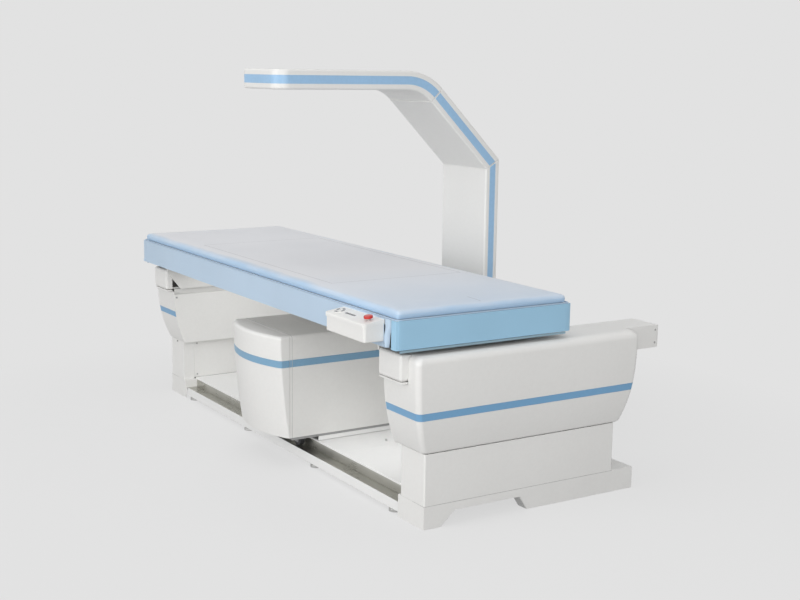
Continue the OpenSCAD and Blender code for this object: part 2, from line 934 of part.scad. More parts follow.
module scanner_housing() {
    lip = 8;
    stripe_top = box_stripe_z + box_stripe_h;
    color(white) difference() {
        along_y(-box_seam, box_back) box_profile(0);
        along_y(-box_seam - 1, box_back - cover_t) box_profile(cover_t);
        for (s = [-1, 1]) {
            x = box_x + s * box_half;
            block(
                x - groove_d, x + groove_d, -box_seam - 1, box_back - box_edge_r,
                box_stripe_z, stripe_top
            );
        }
        block(
            box_x - window_w / 2, box_x + window_w / 2, scan_y - window_l / 2, scan_y + window_l / 2,
            box_z1 - window_t, box_z1 + 1
        );
        block(
            box_x - window_w / 2 + lip, box_x + window_w / 2 - lip, scan_y - window_l / 2 + lip,
            scan_y + window_l / 2 - lip, box_z1 - cover_t - 1, box_z1 + 1
        );
    }
}

module xray_window() {
    color(dark) block(
        box_x - window_w / 2 + seat, box_x + window_w / 2 - seat, scan_y - window_l / 2 + seat,
        scan_y + window_l / 2 - seat, box_z1 - window_t, box_z1
    );
}

box_corner_r = 18;
function box_t(z) = min(max((z - box_z0) / (box_z1 - box_z0), 0), 1);
function box_corner_y(z) = -(box_front - box_tuck * pow(1 - box_t(z), 1.9));

// Plan of the bowed front at a height, inset by d, with the wall t left outside and its back run past the seam
function front_ring(z, y1, d, t) =
    let (
        e = edge_inset(z - box_z1 + box_edge_r, box_edge_r - t),
        half = box_half - d - e,
        y0 = box_corner_y(z) + d + e - box_bulge,
        big = (half * half + box_bulge * box_bulge) / (2 * box_bulge),
        r = box_corner_r - d,
        turn = asin((half - r) / (big - r)),
        small_y = y0 + big - (big - r) * cos(turn)
    )
    [z, concat(
        [[box_x - half, y1]],
        arc(box_x - half + r, small_y, r, 180, 270 - turn, 4),
        arc(box_x, y0 + big, big, 270 - turn + 1, 270 + turn - 1, 16),
        arc(box_x + half - r, small_y, r, 270 + turn, 360, 4),
        [[box_x + half, y1]]
    )];

module before_seam() {
    intersection() {
        children();
        block(
            box_x - box_w, box_x + box_w, -box_front - box_bulge - 10, -box_seam - seat,
            box_z0 - 10, box_z1 + 10
        );
    }
}

module front_skin(y1) {
    side = groove_side;
    edge = edge_levels(box_z1 - box_edge_r, box_edge_r, 5);
    stripe_top = box_stripe_z + box_stripe_h;
    low = [for (i = [0:6]) box_z0 + (box_stripe_z - side - box_z0) * i / 6];
    loft(concat(
        [for (z = low) front_ring(z, y1, 0, 0)],
        [for (z = [box_stripe_z, stripe_top]) front_ring(z, y1, groove_d, 0)],
        [for (z = [stripe_top + side, (stripe_top + edge[0]) / 2]) front_ring(z, y1, 0, 0)],
        [for (z = edge) front_ring(z, y1, 0, 0)]
    ));
}

module scanner_front_cover() {
    y1 = box_corner_r - box_seam;
    edge = edge_levels(box_z1 - box_edge_r, box_edge_r - cover_t, 4);
    low = [for (i = [0:5]) box_z0 + cover_t + (edge[0] - 1 - box_z0 - cover_t) * i / 5];
    color(white) before_seam() difference() {
        front_skin(y1);
        loft(concat(
            [for (z = low) front_ring(z, y1 + 1, cover_t, cover_t)],
            [for (z = edge) front_ring(z, y1 + 1, cover_t, cover_t)]
        ));
    }
}

module scanner_stripe() {
    gap = 0.1;
    z0 = box_stripe_z + gap;
    z1 = box_stripe_z + box_stripe_h - gap;
    y1 = box_corner_r - box_seam;
    color(stripe_blue) {
        before_seam() difference() {
            loft([for (z = [z0, z1]) front_ring(z, y1, 0, 0)]);
            loft([for (z = [z0 - 1, z1 + 1]) front_ring(z, y1 + 1, groove_d - gap, 0)]);
        }
        for (s = [-1, 1]) {
            x = box_x + s * (box_half - (groove_d - gap) / 2);
            block(
                x - (groove_d - gap) / 2, x + (groove_d - gap) / 2, -box_seam, box_back - box_edge_r - gap,
                z0, z1
            );
        }
    }
}

roller_y = -(ledge_front + deck_front) / 2;
roller_z = ledge_z + seat + roller_r;
fork_t = 3;

module scanner_carriage() {
    half = box_half - 1;
    fork_y0 = roller_y - roller_w / 2 - seat - fork_t;
    fork_y1 = roller_y + roller_w / 2 + seat;
    color(steel) {
        block(box_x - half, box_x + half, -box_seam + 8, belt_y0 + belt_w + 3, carriage_z, carriage_top);
        block(
            box_x - 20, box_x + 20, belt_y0, belt_y0 + belt_w,
            belt_z + pulley_r + 2 * run_fit + belt_t + seat, carriage_z
        );
        for (s = [-1, 1]) {
            x = box_x + s * roller_half;
            for (y = [fork_y0, fork_y1]) {
                block(x - 12, x + 12, y, y + fork_t, roller_z - 12, carriage_z);
            }
            rod_y(x, roller_z, fork_y0, fork_y1 + fork_t, axle_r);
        }
    }
}

module front_roller(x) {
    color(dark) difference() {
        rod_y(x, roller_z, roller_y - roller_w / 2, roller_y + roller_w / 2, roller_r);
        rod_y(x, roller_z, roller_y - roller_w, roller_y + roller_w, axle_r + run_fit);
    }
}

module front_roller_left() {
    front_roller(box_x - roller_half);
}

module front_roller_right() {
    front_roller(box_x + roller_half);
}

module guide_blocks() {
    len_x = 66;
    half_y = chassis_w / 2 + 2;
    color(steel) difference() {
        for (s = [-1, 1]) {
            x = box_x + s * (box_half - 60);
            block(x - len_x / 2, x + len_x / 2, guide_y - half_y, guide_y + half_y, guide_base + 6, carriage_z);
        }
        block(
            box_x - box_half, box_x + box_half, guide_y - guide_w / 2 - seat,
            guide_y + guide_w / 2 + seat, guide_base, guide_base + guide_h + seat
        );
    }
}

tank_half = 100;
tank_h = 228;
port_h = 22;
vane_t = 4;
pivot_x = box_x + 60;

module xray_tank() {
    top = carriage_top + tank_h;
    color(panel_grey) {
        along_z(carriage_top, top) {
            r = 12;
            translate([box_x - tank_half, scan_y - tank_half + r]) square([2 * tank_half, 2 * tank_half - 2 * r]);
            translate([box_x - tank_half + r, scan_y - tank_half]) square([2 * tank_half - 2 * r, 2 * tank_half]);
            for (sx = [-1, 1]) for (sy = [-1, 1]) {
                translate([box_x + sx * (tank_half - r), scan_y + sy * (tank_half - r)]) circle(r = r);
            }
        }
        difference() {
            rod_z(box_x, scan_y, top, top + port_h, 30);
            block(box_x - 4, box_x + 4, scan_y - 20, scan_y + 20, top + 2, top + port_h + 1);
        }
        rod_z(pivot_x, scan_y, top, top + port_h + seat + vane_t + 4, axle_r);
    }
}

module shutter() {
    z0 = carriage_top + tank_h + port_h + seat;
    color(steel) difference() {
        along_z(z0, z0 + vane_t) {
            translate([box_x, scan_y]) circle(r = 24);
            translate([pivot_x, scan_y]) circle(r = 12);
            translate([box_x, scan_y - 10]) square([pivot_x - box_x, 20]);
        }
        rod_z(pivot_x, scan_y, z0 - 1, z0 + vane_t + 1, axle_r + run_fit);
    }
}

// ---- C-arm ----

column_z0 = box_z0 + 2;
bend_steps = 12;

// Side view of the C-arm, with the column inset by dc and the rest by da
module c_profile(dc, da) {
    diag = sqrt(2);
    sum_out = bend_y + bend_z + diag * (bend_r - da);
    sum_in = bend_y + bend_z + diag * (bend_r - arm_t + da);
    y0 = column_y + dc;
    y1 = column_back - dc;
    tip = -arm_reach - 1;
    polygon(concat(
        [[y0, column_z0], [y1, column_z0], [y1, sum_out - y1]],
        arc(bend_y, bend_z, bend_r - da, 45, 90, bend_steps),
        [[tip, arm_top - da], [tip, arm_top - arm_t + da]],
        arc(bend_y, bend_z, bend_r - arm_t + da, 90, 45, bend_steps),
        [[y0, sum_in - y0]]
    ));
}

// Plan of the C-arm, inset by d, running on past the column
module c_plan(d) {
    r = tip_r - d;
    half = arm_w / 2 - d;
    y0 = -arm_reach + d;
    translate([box_x - half, y0 + r]) square([2 * half, 1000]);
    translate([box_x - half + r, y0]) square([2 * half - 2 * r, 1000]);
    for (s = [-1, 1]) translate([box_x + s * (half - r), y0 + r]) circle(r = r);
}

module c_solid(dc, da, d) {
    intersection() {
        along_x(box_x - arm_w / 2, box_x + arm_w / 2) c_profile(dc, da);
        along_z(0, arm_top + 1) c_plan(d);
    }
}

strip_dc = (column_t - strip_w) / 2;
strip_da = (arm_t - strip_w) / 2;
strip_groove = strip_t + 0.1;

module c_shell() {
    difference() {
        c_solid(0, 0, 0);
        c_solid(cover_t, cover_t, cover_t);
        difference() {
            along_x(box_x - arm_w, box_x + arm_w) c_profile(strip_dc - 0.1, strip_da - 0.1);
            along_z(0, arm_top + 1) c_plan(strip_groove);
        }
        block(
            box_x - arm_w / 2 + cover_t, box_x + arm_w / 2 - cover_t, column_y + cover_t,
            column_back - cover_t, column_z0 - 1, column_z0 + 1
        );
    }
}

// Cuts between the three covers: the mitre at the knee and the radial line where the bend starts
knee_out = [column_back, bend_y + bend_z + sqrt(2) * bend_r - column_back];
knee_in = [column_y, bend_y + bend_z + sqrt(2) * (bend_r - arm_t) - column_y];
knee_slope = (knee_out[1] - knee_in[1]) / (knee_out[0] - knee_in[0]);
function knee_z(y) = knee_in[1] + knee_slope * (y - knee_in[0]);
far_y = 700;

module below_knee() {
    polygon([[far_y, 0], [far_y, knee_z(far_y)], [300, knee_z(300)], [300, 0]]);
}

module before_bend() {
    polygon([
        [bend_y, bend_z], [bend_y + 500, bend_z + 500], [-far_y, bend_z + 500], [-far_y, bend_z],
    ]);
}

module c_piece() {
    intersection() {
        c_shell();
        along_x(box_x - arm_w, box_x + arm_w) children();
    }
}

module column_cover() {
    color(white) c_piece() below_knee();
}

module diagonal_cover() {
    color(white) c_piece() difference() {
        translate([bend_y - 100, 0]) square([far_y, arm_top + 100]);
        below_knee();
        before_bend();
    }
}

det_x = 38;
det_y0 = -400;
det_y1 = 40;
frame_drop = 30;

module arm_cover() {
    color(white) difference() {
        c_piece() before_bend();
        block(
            box_x - det_x - seat, box_x + det_x + seat, det_y0 - seat, det_y1 + seat,
            arm_top - arm_t - 1, arm_top - arm_t + cover_t + 1
        );
    }
}

module trim_strip() {
    color(stripe_blue) difference() {
        c_solid(strip_dc, strip_da, 0);
        c_solid(strip_dc - 1, strip_da - 1, strip_t);
    }
}

module column_frame() {
    inset = cover_t + seat;
    half = arm_w / 4;
    foot_t = 10;
    color(steel) {
        difference() {
            along_x(box_x - half, box_x + half) c_profile(inset, inset);
            along_x(box_x - half + 5, box_x + half - 5) c_profile(inset + 5, inset + 5);
            block(
                box_x - arm_w, box_x + arm_w, -arm_reach - 5, bend_y,
                arm_top - arm_t, arm_top - frame_drop
            );
            block(box_x - arm_w, box_x + arm_w, -arm_reach - 5, 20 - arm_reach, 0, arm_top);
        }
        block(
            box_x - arm_w / 2 + inset, box_x + arm_w / 2 - inset, column_y + inset,
            column_back - inset - 5, carriage_top, column_z0 + foot_t
        );
    }
}

module detector() {
    color(dark) block(
        box_x - det_x, box_x + det_x, det_y0, det_y1, arm_top - arm_t, arm_top - frame_drop
    );
}

// ---- Table ----

frame_inset = 20;
stay_x = pedestal_inner - 249;
frame_end = table_edge - pad_edge - frame_inset;
frame_y0 = y_front + pad_edge + frame_inset;
frame_y1 = y_back - pad_edge - frame_inset;
bracket_xs = [control_end - 60, control_end - control_len + 60];
bracket_w = 24;
bracket_t = 8;
bracket_z = control_z0 + 18;

module table_frame() {
    beam_tube = 60;
    color(steel) {
        for (y = [frame_y0, frame_y1 - frame_tube]) difference() {
            block(-frame_end, frame_end, y, y + frame_tube, z_board - frame_h, z_board);
            block(
                -frame_end - 1, frame_end + 1, y + frame_wall, y + frame_tube - frame_wall,
                z_board - frame_h + frame_wall, z_board - frame_wall
            );
        }
        pair() {
            y0 = frame_y0 + frame_tube - weld;
            y1 = frame_y1 - frame_tube + weld;
            block(plate_x - 14, plate_x - 14 + beam_tube, y0, y1, cross_z0, z_board);
            for (x = [stay_x, frame_end - frame_tube]) {
                block(x, x + frame_tube, y0, y1, z_board - frame_h, z_board);
            }
        }
        for (x = bracket_xs) {
            block(
                x - bracket_w / 2, x + bracket_w / 2, y_front - seat, frame_y0 + weld,
                bracket_z, bracket_z + bracket_t
            );
        }
    }
}

module tabletop() {
    edge = table_edge - pad_edge;
    color(panel_grey) block(-edge, edge, y_front + pad_edge, y_back - pad_edge, z_board, z_pad);
}

module mattress_pad() {
    r = 10;
    half = table_edge - pad_edge;
    y0 = y_front + pad_edge;
    y1 = y_back - pad_edge;
    color(pad_grey) along_z(z_pad, pad_top) {
        translate([-half, y0 + r]) square([2 * half, y1 - y0 - 2 * r]);
        translate([-half + r, y0]) square([2 * half - 2 * r, y1 - y0]);
        for (sx = [-1, 1]) for (y = [y0 + r, y1 - r]) translate([sx * (half - r), y]) circle(r = r);
    }
}

module side_skirt(y0) {
    half = table_edge - skirt_return - corner_gap;
    block(-half, half, y0, y0 + skirt_t, z_skirt, z_pad);
}

module skirt_front() {
    color(cloth_blue) difference() {
        side_skirt(y_front);
        for (x = bracket_xs) {
            block(
                x - bracket_w / 2 - seat, x + bracket_w / 2 + seat, y_front - 1, y_front + skirt_t + 1,
                bracket_z - seat, bracket_z + bracket_t + seat
            );
        }
    }
}

module skirt_rear() {
    color(cloth_blue) side_skirt(y_back - skirt_t);
}

module skirt_right() {
    r = 6;
    x0 = table_edge - skirt_return;
    color(cloth_blue) along_z(z_skirt, z_pad) difference() {
        union() {
            translate([x0, y_front]) square([skirt_return - r, table_w]);
            translate([x0, y_front + r]) square([skirt_return, table_w - 2 * r]);
            for (y = [y_front + r, y_back - r]) translate([table_edge - r, y]) circle(r = r);
        }
        translate([x0 - 1, y_front + skirt_t]) square([skirt_return + 1 - skirt_t, table_w - 2 * skirt_t]);
    }
}

module skirt_left() {
    mirror([1, 0, 0]) skirt_right();
}

// ---- Controls ----

control_x0 = control_end - control_len;
control_y1 = y_front - seat;
control_y0 = control_y1 - control_w;
slope = atan(control_rise / control_w);
lid_lip = 3;
box_wall = 3;
stop_x = control_end - 30;
keys_x = control_x0 + 33;
control_mid = (control_y0 + control_y1) / 2;
function lid_z(y) = control_z1 + control_rise * (y - control_y0) / control_w;

module control_box() {
    x0 = control_x0 + lid_lip;
    x1 = control_end - lid_lip;
    y0 = control_y0 + lid_lip;
    color(white) difference() {
        along_x(x0, x1) polygon([
            [y0 + 2, control_z0], [control_y1, control_z0], [control_y1, lid_z(control_y1) - lid_t],
            [y0, lid_z(y0) - lid_t], [y0, control_z0 + 2],
        ]);
        along_x(x0 + box_wall, x1 - box_wall) polygon([
            [y0 + box_wall, control_z0 + box_wall], [control_y1 - box_wall, control_z0 + box_wall],
            [control_y1 - box_wall, control_z1 + 20], [y0 + box_wall, control_z1 + 20],
        ]);
    }
}

// Places its children on the lid, with their Z axis square to its slope
module on_lid(x, y) {
    translate([x, y, lid_z(y)]) rotate([slope, 0, 0]) children();
}

module key_outline(grow) {
    inner = keys_r * 0.36;
    gap = 1.6;
    intersection() {
        difference() {
            circle(r = keys_r + grow);
            circle(r = inner - grow);
        }
        translate([gap - grow, 0]) polygon([[0, 0], [60, 60], [60, -60]]);
    }
}

window_x0 = keys_x + keys_r + 12;
window_x1 = window_x0 + 58;
window_half = 4.5;
lens_t = 1.5;
key_h = 6;

module control_lid() {
    color(white) difference() {
        along_x(control_x0, control_end) polygon([
            [control_y0, control_z1 - lid_t], [control_y1, lid_z(control_y1) - lid_t],
            [control_y1, lid_z(control_y1)], [control_y0 + 4, lid_z(control_y0 + 4)],
            [control_y0 + 1, control_z1 - 1], [control_y0, control_z1 - 4],
        ]);
        on_lid(keys_x, control_mid) for (a = [0:90:270]) {
            rotate([0, 0, a]) translate([0, 0, -2 * lid_t]) linear_extrude(4 * lid_t) key_outline(seat);
        }
        on_lid(0, control_mid) translate([0, 0, -lens_t]) {
            block(window_x0, window_x1, -window_half, window_half, 0, 2 * lens_t);
        }
        on_lid(stop_x, control_mid) translate([0, 0, -2 * lid_t]) cylinder(r = 6 + run_fit, h = 4 * lid_t);
    }
}

module key(a) {
    proud = 1.5;
    color(dark) on_lid(keys_x, control_mid) rotate([0, 0, a]) translate([0, 0, proud - key_h]) {
        linear_extrude(key_h) key_outline(0);
    }
}

module key_left() {
    key(180);
}

module key_right() {
    key(0);
}

module key_in() {
    key(90);
}

module key_out() {
    key(270);
}

module indicator_window() {
    color(dark) on_lid(0, control_mid) translate([0, 0, -lens_t]) {
        block(window_x0 + seat, window_x1 - seat, seat - window_half, window_half - seat, 0, lens_t);
    }
}

stop_h = 9;
stop_gap = 6;

module estop_stem() {
    color(steel) on_lid(stop_x, control_mid) {
        translate([0, 0, -2 * lid_t]) cylinder(r = 6, h = 2 * lid_t + stop_gap);
        translate([0, 0, stop_gap]) cylinder(r = 3, h = stop_h / 2);
    }
}

module estop_head() {
    color([0.78, 0.10, 0.08]) on_lid(stop_x, control_mid) translate([0, 0, stop_gap + seat]) {
        difference() {
            rotate_extrude() polygon([
                [0, 0], [stop_r - 1, 0], [stop_r, 1], [stop_r, stop_h - 3], [stop_r - 1, stop_h - 1],
                [stop_r - 4, stop_h], [0, stop_h],
            ]);
            translate([0, 0, -1]) cylinder(r = 3 + run_fit, h = stop_h / 2 + 1);
        }
    }
}

// ---- Mains ----

switch_w = 15;

module mains_inlet() {
    y1 = plinth_back;
    flange = 2;
    x_split = inlet_x - 4;
    color(dark) difference() {
        union() {
            block(
                inlet_x - inlet_w / 2, inlet_x + inlet_w / 2, y1, y1 + flange,
                inlet_z - inlet_h / 2, inlet_z + inlet_h / 2
            );
            block(
                inlet_x - inlet_w / 2 + 4 + seat, inlet_x + inlet_w / 2 - 4 - seat, y1 - inlet_d, y1,
                inlet_z - inlet_h / 2 + 4 + seat, inlet_z + inlet_h / 2 - 4 - seat
            );
        }
        block(x_split, x_split + 24, y1 - inlet_d + 3, y1 + flange + 1, inlet_z - 9, inlet_z + 9);
        block(
            x_split - 16, x_split - 16 + switch_w * 0.8, y1 - inlet_d + 3, y1 + flange + 1,
            inlet_z - 10, inlet_z + 10
        );
    }
    color(steel) for (x = [6, 12, 18]) {
        block(x_split + x - 1, x_split + x + 1, y1 - inlet_d + 3, y1 - 3, inlet_z - 2, inlet_z + 2);
    }
}

module mains_switch() {
    x0 = inlet_x - 4 - 16;
    y1 = plinth_back;
    color(dark) along_x(x0 + seat, x0 + switch_w * 0.8 - seat) {
        translate([y1 - 4, inlet_z]) circle(r = 5);
        polygon([
            [y1 - 4, inlet_z - 5], [y1 + 4, inlet_z - 8], [y1 + 2.5, inlet_z],
            [y1 + 1.5, inlet_z + 8], [y1 - 4, inlet_z + 5],
        ]);
    }
}

base_frame();
levelling_feet();
end_plinths();
side_plates();
front_rail();
deck_panels();
scanner_rail();
drive_belt();
drive_motor();
pedestal_frames();
lower_covers();
lower_panels();
upper_shell_left();
upper_shell_right();
upper_panels();
shell_stripes();
cross_beams();
beam_caps();
table_rails();
table_motors();
mains_inlet();
mains_switch();
scanner_carriage();
scanner_housing();
scanner_front_cover();
scanner_stripe();
xray_window();
xray_tank();
shutter();
guide_blocks();
front_roller_left();
front_roller_right();
drive_pulley();
idler_pulley();
column_frame();
column_cover();
diagonal_cover();
arm_cover();
trim_strip();
detector();
table_frame();
tabletop();
mattress_pad();
skirt_front();
skirt_rear();
skirt_left();
skirt_right();
table_runners();
bearing_blocks();
leadscrew_left();
leadscrew_right();
control_box();
control_lid();
key_left();
key_right();
key_in();
key_out();
indicator_window();
estop_stem();
estop_head();
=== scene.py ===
import sys
import json
import logging
import math
from dataclasses import dataclass, field
from enum import Enum
from typing import Callable, Iterable, Sequence

import bpy
from mathutils import Matrix, Vector

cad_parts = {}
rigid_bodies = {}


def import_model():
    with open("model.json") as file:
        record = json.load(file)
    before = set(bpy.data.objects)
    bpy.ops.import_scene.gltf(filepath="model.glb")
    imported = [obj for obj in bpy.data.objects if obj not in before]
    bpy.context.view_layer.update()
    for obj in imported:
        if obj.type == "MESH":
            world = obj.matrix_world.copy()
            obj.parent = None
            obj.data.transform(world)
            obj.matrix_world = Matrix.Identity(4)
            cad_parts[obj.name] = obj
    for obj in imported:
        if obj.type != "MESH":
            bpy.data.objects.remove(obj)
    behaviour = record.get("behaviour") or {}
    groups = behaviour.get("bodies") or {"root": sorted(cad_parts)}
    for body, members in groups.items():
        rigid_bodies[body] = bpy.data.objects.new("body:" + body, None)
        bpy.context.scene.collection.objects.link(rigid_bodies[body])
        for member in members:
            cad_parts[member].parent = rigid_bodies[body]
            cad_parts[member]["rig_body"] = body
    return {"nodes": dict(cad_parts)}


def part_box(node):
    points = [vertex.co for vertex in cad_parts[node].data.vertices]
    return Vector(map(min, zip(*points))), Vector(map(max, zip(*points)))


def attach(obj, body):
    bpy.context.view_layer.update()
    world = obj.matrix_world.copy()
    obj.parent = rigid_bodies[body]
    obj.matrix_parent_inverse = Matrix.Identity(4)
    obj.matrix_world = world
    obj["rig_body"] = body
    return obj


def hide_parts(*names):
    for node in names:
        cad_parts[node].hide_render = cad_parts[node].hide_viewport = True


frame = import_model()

LOG = logging.getLogger("densitometer")
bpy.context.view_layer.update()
Socket = bpy.types.NodeSocket

MM = 0.001
TINY = 1e-5  # places nearer than this are the same
NEAR = 1 * MM  # and edges and faces nearer than this are the ones sought
STRIPE_SHARE = 0.965  # a stripe's height as a share of its groove's
STRIPE_PROUD = 1.15  # its thickness as a share of the groove's depth
STRIPE_EDGE = 0.35 * MM
FLAT_ANGLE = 0.6  # in degrees, what counts as flat where a mesh is cleaned


class Body(str, Enum):
    """Bodies of the frame that pieces ride on."""

    BASE = "base"
    ROCKER = "rocker"
    SCANNER = "scanner"
    TABLE = "table"
    STOP_HEAD = "stop_head"
    BUTTON_LEFT = "button_left"
    BUTTON_RIGHT = "button_right"
    BUTTON_IN = "button_in"
    BUTTON_OUT = "button_out"


class Pick(str, Enum):
    """What an edit mode selection is made of."""

    VERT = "VERT"
    EDGE = "EDGE"
    FACE = "FACE"


class Side(Enum):
    """The two ends of the machine, as signs of X."""

    LEFT = -1
    RIGHT = 1


# ---- Finishes ----


class Noise(Enum):
    """The noises that marks on a surface follow, each with its cells in a metre and its octaves."""

    CLOUD = (2.3, 3.0)
    SPECK = (85.0, 2.0)
    DUST = (14.0, 4.0)
    SMEAR = (7.0, 5.0)
    PEEL = (420.0, 1.0)
    CREASE = (24.0, 3.0)
    FABRIC_CLOUD = (3.1, 4.0)
    WEAR = (5.0, 5.0)
    DULL = (9.0, 4.0)
    DRAWN = (4.0, 3.0)
    DYE = (6.0, 2.0)


FABRIC_CELLS = 620.0  # grain cells in a metre
DRAWN_STRETCH = (3.0, 160.0, 160.0)  # draws the noise out along X
DUST_HEIGHT = 0.16
# Middle and half span, along X and along Y, of what the pad's cover shows.
PAD_RIM = ((0.0, 0.972), (-0.1645, 0.309))
PAD_FIELD = ((-0.0225, 0.4975), (-0.162, 0.245))
PAD_TICK = ((0.9075, 0.0345), (-0.167, 0.0006))


class NodeWork:
    """A node tree being laid out, with short calls for its nodes and links."""

    def __init__(self, tree: bpy.types.NodeTree) -> None:
        """Keep the tree to work on."""
        self.tree = tree

    def add(self, kind: str, **settings: object) -> bpy.types.Node:
        """Add a node.

        Args:
            kind: Type name of the node.
            settings: Attributes of the node to set.

        Returns:
            The new node.
        """
        node = self.tree.nodes.new(kind)
        for key, value in settings.items():
            setattr(node, key, value)
        return node

    def join(self, out: Socket, into: Socket) -> None:
        """Link two sockets."""
        self.tree.links.new(out, into)

    def noise(self, where: Socket, kind: Noise) -> Socket:
        """Add a noise texture.

        Args:
            where: Socket with the coordinates.
            kind: The noise to add.

        Returns:
            The noise value's socket.
        """
        node = self.add("ShaderNodeTexNoise")
        for label, number in zip(("Scale", "Detail"), kind.value):
            node.inputs[label].default_value = number
        self.join(where, node.inputs["Vector"])
        return node.outputs["Fac"]

    def span(self, value: Socket, low: float, high: float, start: float = 0.3, end: float = 0.7) -> Socket:
        """Map a value onto a new span.

        Args:
            value: Socket to map.
            low: Result at start.
            high: Result at end.
            start: Value that gives low.
            end: Value that gives high.

        Returns:
            The mapped value's socket.
        """
        node = self.add("ShaderNodeMapRange")
        for name, number in (("From Min", start), ("From Max", end), ("To Min", low), ("To Max", high)):
            node.inputs[name].default_value = number
        self.join(value, node.inputs["Value"])
        return node.outputs["Result"]

    def sum(self, kind: str, a: Socket, b: object) -> Socket:
        """Combine two values.

        Args:
            kind: Operation of the Math node.
            a: First value's socket.
            b: Second value's socket, or a number.

        Returns:
            The result's socket.
        """
        node = self.add("ShaderNodeMath", operation=kind)
        self.join(a, node.inputs[0])
        if isinstance(b, (int, float)):
            node.inputs[1].default_value = b
        else:
            self.join(b, node.inputs[1])
        return node.outputs[0]


class GroupWork(NodeWork):
    """A shader node group being laid out, which gives a colour, a roughness and a bump height."""

    def __init__(self, name: str, extra: Sequence[tuple[str, object]]) -> None:
        """Make the group with its sockets.

        Args:
            name: Name of the group.
            extra: Names and defaults of its inputs after its Color, each a number or a colour.
        """
        super().__init__(bpy.data.node_groups.new(name, "ShaderNodeTree"))
        sockets = self.tree.interface
        sockets.new_socket("Color", in_out="INPUT", socket_type="NodeSocketColor")
        for label, default in extra:
            kind = "NodeSocketColor" if isinstance(default, tuple) else "NodeSocketFloat"
            sockets.new_socket(label, in_out="INPUT", socket_type=kind).default_value = default
        sockets.new_socket("Color", in_out="OUTPUT", socket_type="NodeSocketColor")
        for label in ("Roughness", "Height"):
            sockets.new_socket(label, in_out="OUTPUT", socket_type="NodeSocketFloat")
        self.given = self.add("NodeGroupInput").outputs
        self.result = self.add("NodeGroupOutput").inputs
        self.place = self.add("ShaderNodeTexCoord").outputs["Object"]

    def swing(self, cloud: Socket) -> Socket:
        """Give how far a cloudy noise moves the tone, as strongly as the group's Cloud says.

        Args:
            cloud: Socket with the noise.

        Returns:
            The movement's socket, less than 0 where it darkens.
        """
        return self.sum("MULTIPLY", self.span(cloud, -1.0, 1.0), self.given["Cloud"])

    def tone(self, colour: Socket, change: Socket) -> None:
        """Give a colour as the group's result, made lighter or darker.

        Args:
            colour: Socket with the colour.
            change: Socket with the change of its brightness, 0 for none.
        """
        node = self.add("ShaderNodeVectorMath", operation="SCALE")
        self.join(colour, node.inputs[0])
        self.join(self.sum("ADD", change, 1.0), node.inputs["Scale"])
        self.join(node.outputs[0], self.result["Color"])

    def grain(self) -> tuple[Socket, Socket]:
        """Lay out the leather-like cells and the soft creases of coated fabric, with its worn sheen.

        Returns:
            The socket with the cells, 0 in the valleys between them, and the one with the height.
        """
        cells = self.add("ShaderNodeTexVoronoi", feature="DISTANCE_TO_EDGE")
        cells.inputs["Scale"].default_value = FABRIC_CELLS
        self.join(self.place, cells.inputs["Vector"])
        valley = self.span(cells.outputs["Distance"], 0.0, 1.0, 0.0, 0.22)
        crease = self.sum("MULTIPLY", self.noise(self.place, Noise.CREASE), 0.5)
        height = self.sum("ADD", self.sum("MULTIPLY", valley, 0.6), crease)
        worn = self.span(self.noise(self.place, Noise.WEAR), -0.07, 0.07)
        self.join(self.sum("ADD", self.given["Gloss"], worn), self.result["Roughness"])
        return valley, self.sum("MULTIPLY", height, self.given["Grain"])


def paint_group() -> bpy.types.NodeTree:
    """Build the group for sprayed and moulded surfaces: clouds, wiped smears, orange peel and floor dust.

    Returns:
        The node group.
    """
    work = GroupWork("sprayed_surface", [("Gloss", 0.4), ("Cloud", 0.03), ("Peel", 1.0), ("Grime", 0.05)])
    place, given = work.place, work.given
    swing = work.swing(work.noise(place, Noise.CLOUD))
    fine = work.sum("MULTIPLY", work.span(work.noise(place, Noise.SPECK), -0.5, 0.5), given["Cloud"])
    split = work.add("ShaderNodeSeparateXYZ")
    work.join(place, split.inputs[0])
    low_down = work.span(split.outputs["Z"], 1.0, 0.0, 0.0, DUST_HEIGHT)
    dust = work.sum("MULTIPLY", low_down, work.span(work.noise(place, Noise.DUST), 0.2, 1.0))
    dust = work.sum("MULTIPLY", dust, given["Grime"])
    work.tone(given["Color"], work.sum("SUBTRACT", work.sum("ADD", swing, fine), dust))
    smear = work.span(work.noise(place, Noise.SMEAR), -0.06, 0.08)
    rough = work.sum("ADD", given["Gloss"], smear)
    work.join(work.sum("ADD", rough, work.sum("MULTIPLY", dust, 2.0)), work.result["Roughness"])
    work.join(work.sum("MULTIPLY", work.noise(place, Noise.PEEL), given["Peel"]), work.result["Height"])
    return work.tree


def vinyl_group() -> bpy.types.NodeTree:
    """Build the group for coated fabric: fine leather-like cells, soft creases and a worn sheen.

    Returns:
        The node group.
    """
    work = GroupWork("coated_fabric", [("Gloss", 0.5), ("Cloud", 0.03), ("Grain", 1.0)])
    valley, height = work.grain()
    work.join(height, work.result["Height"])
    swing = work.swing(work.noise(work.place, Noise.FABRIC_CLOUD))
    work.tone(work.given["Color"], work.sum("ADD", swing, work.span(valley, -0.02, 0.0, 0.0, 1.0)))
    return work.tree


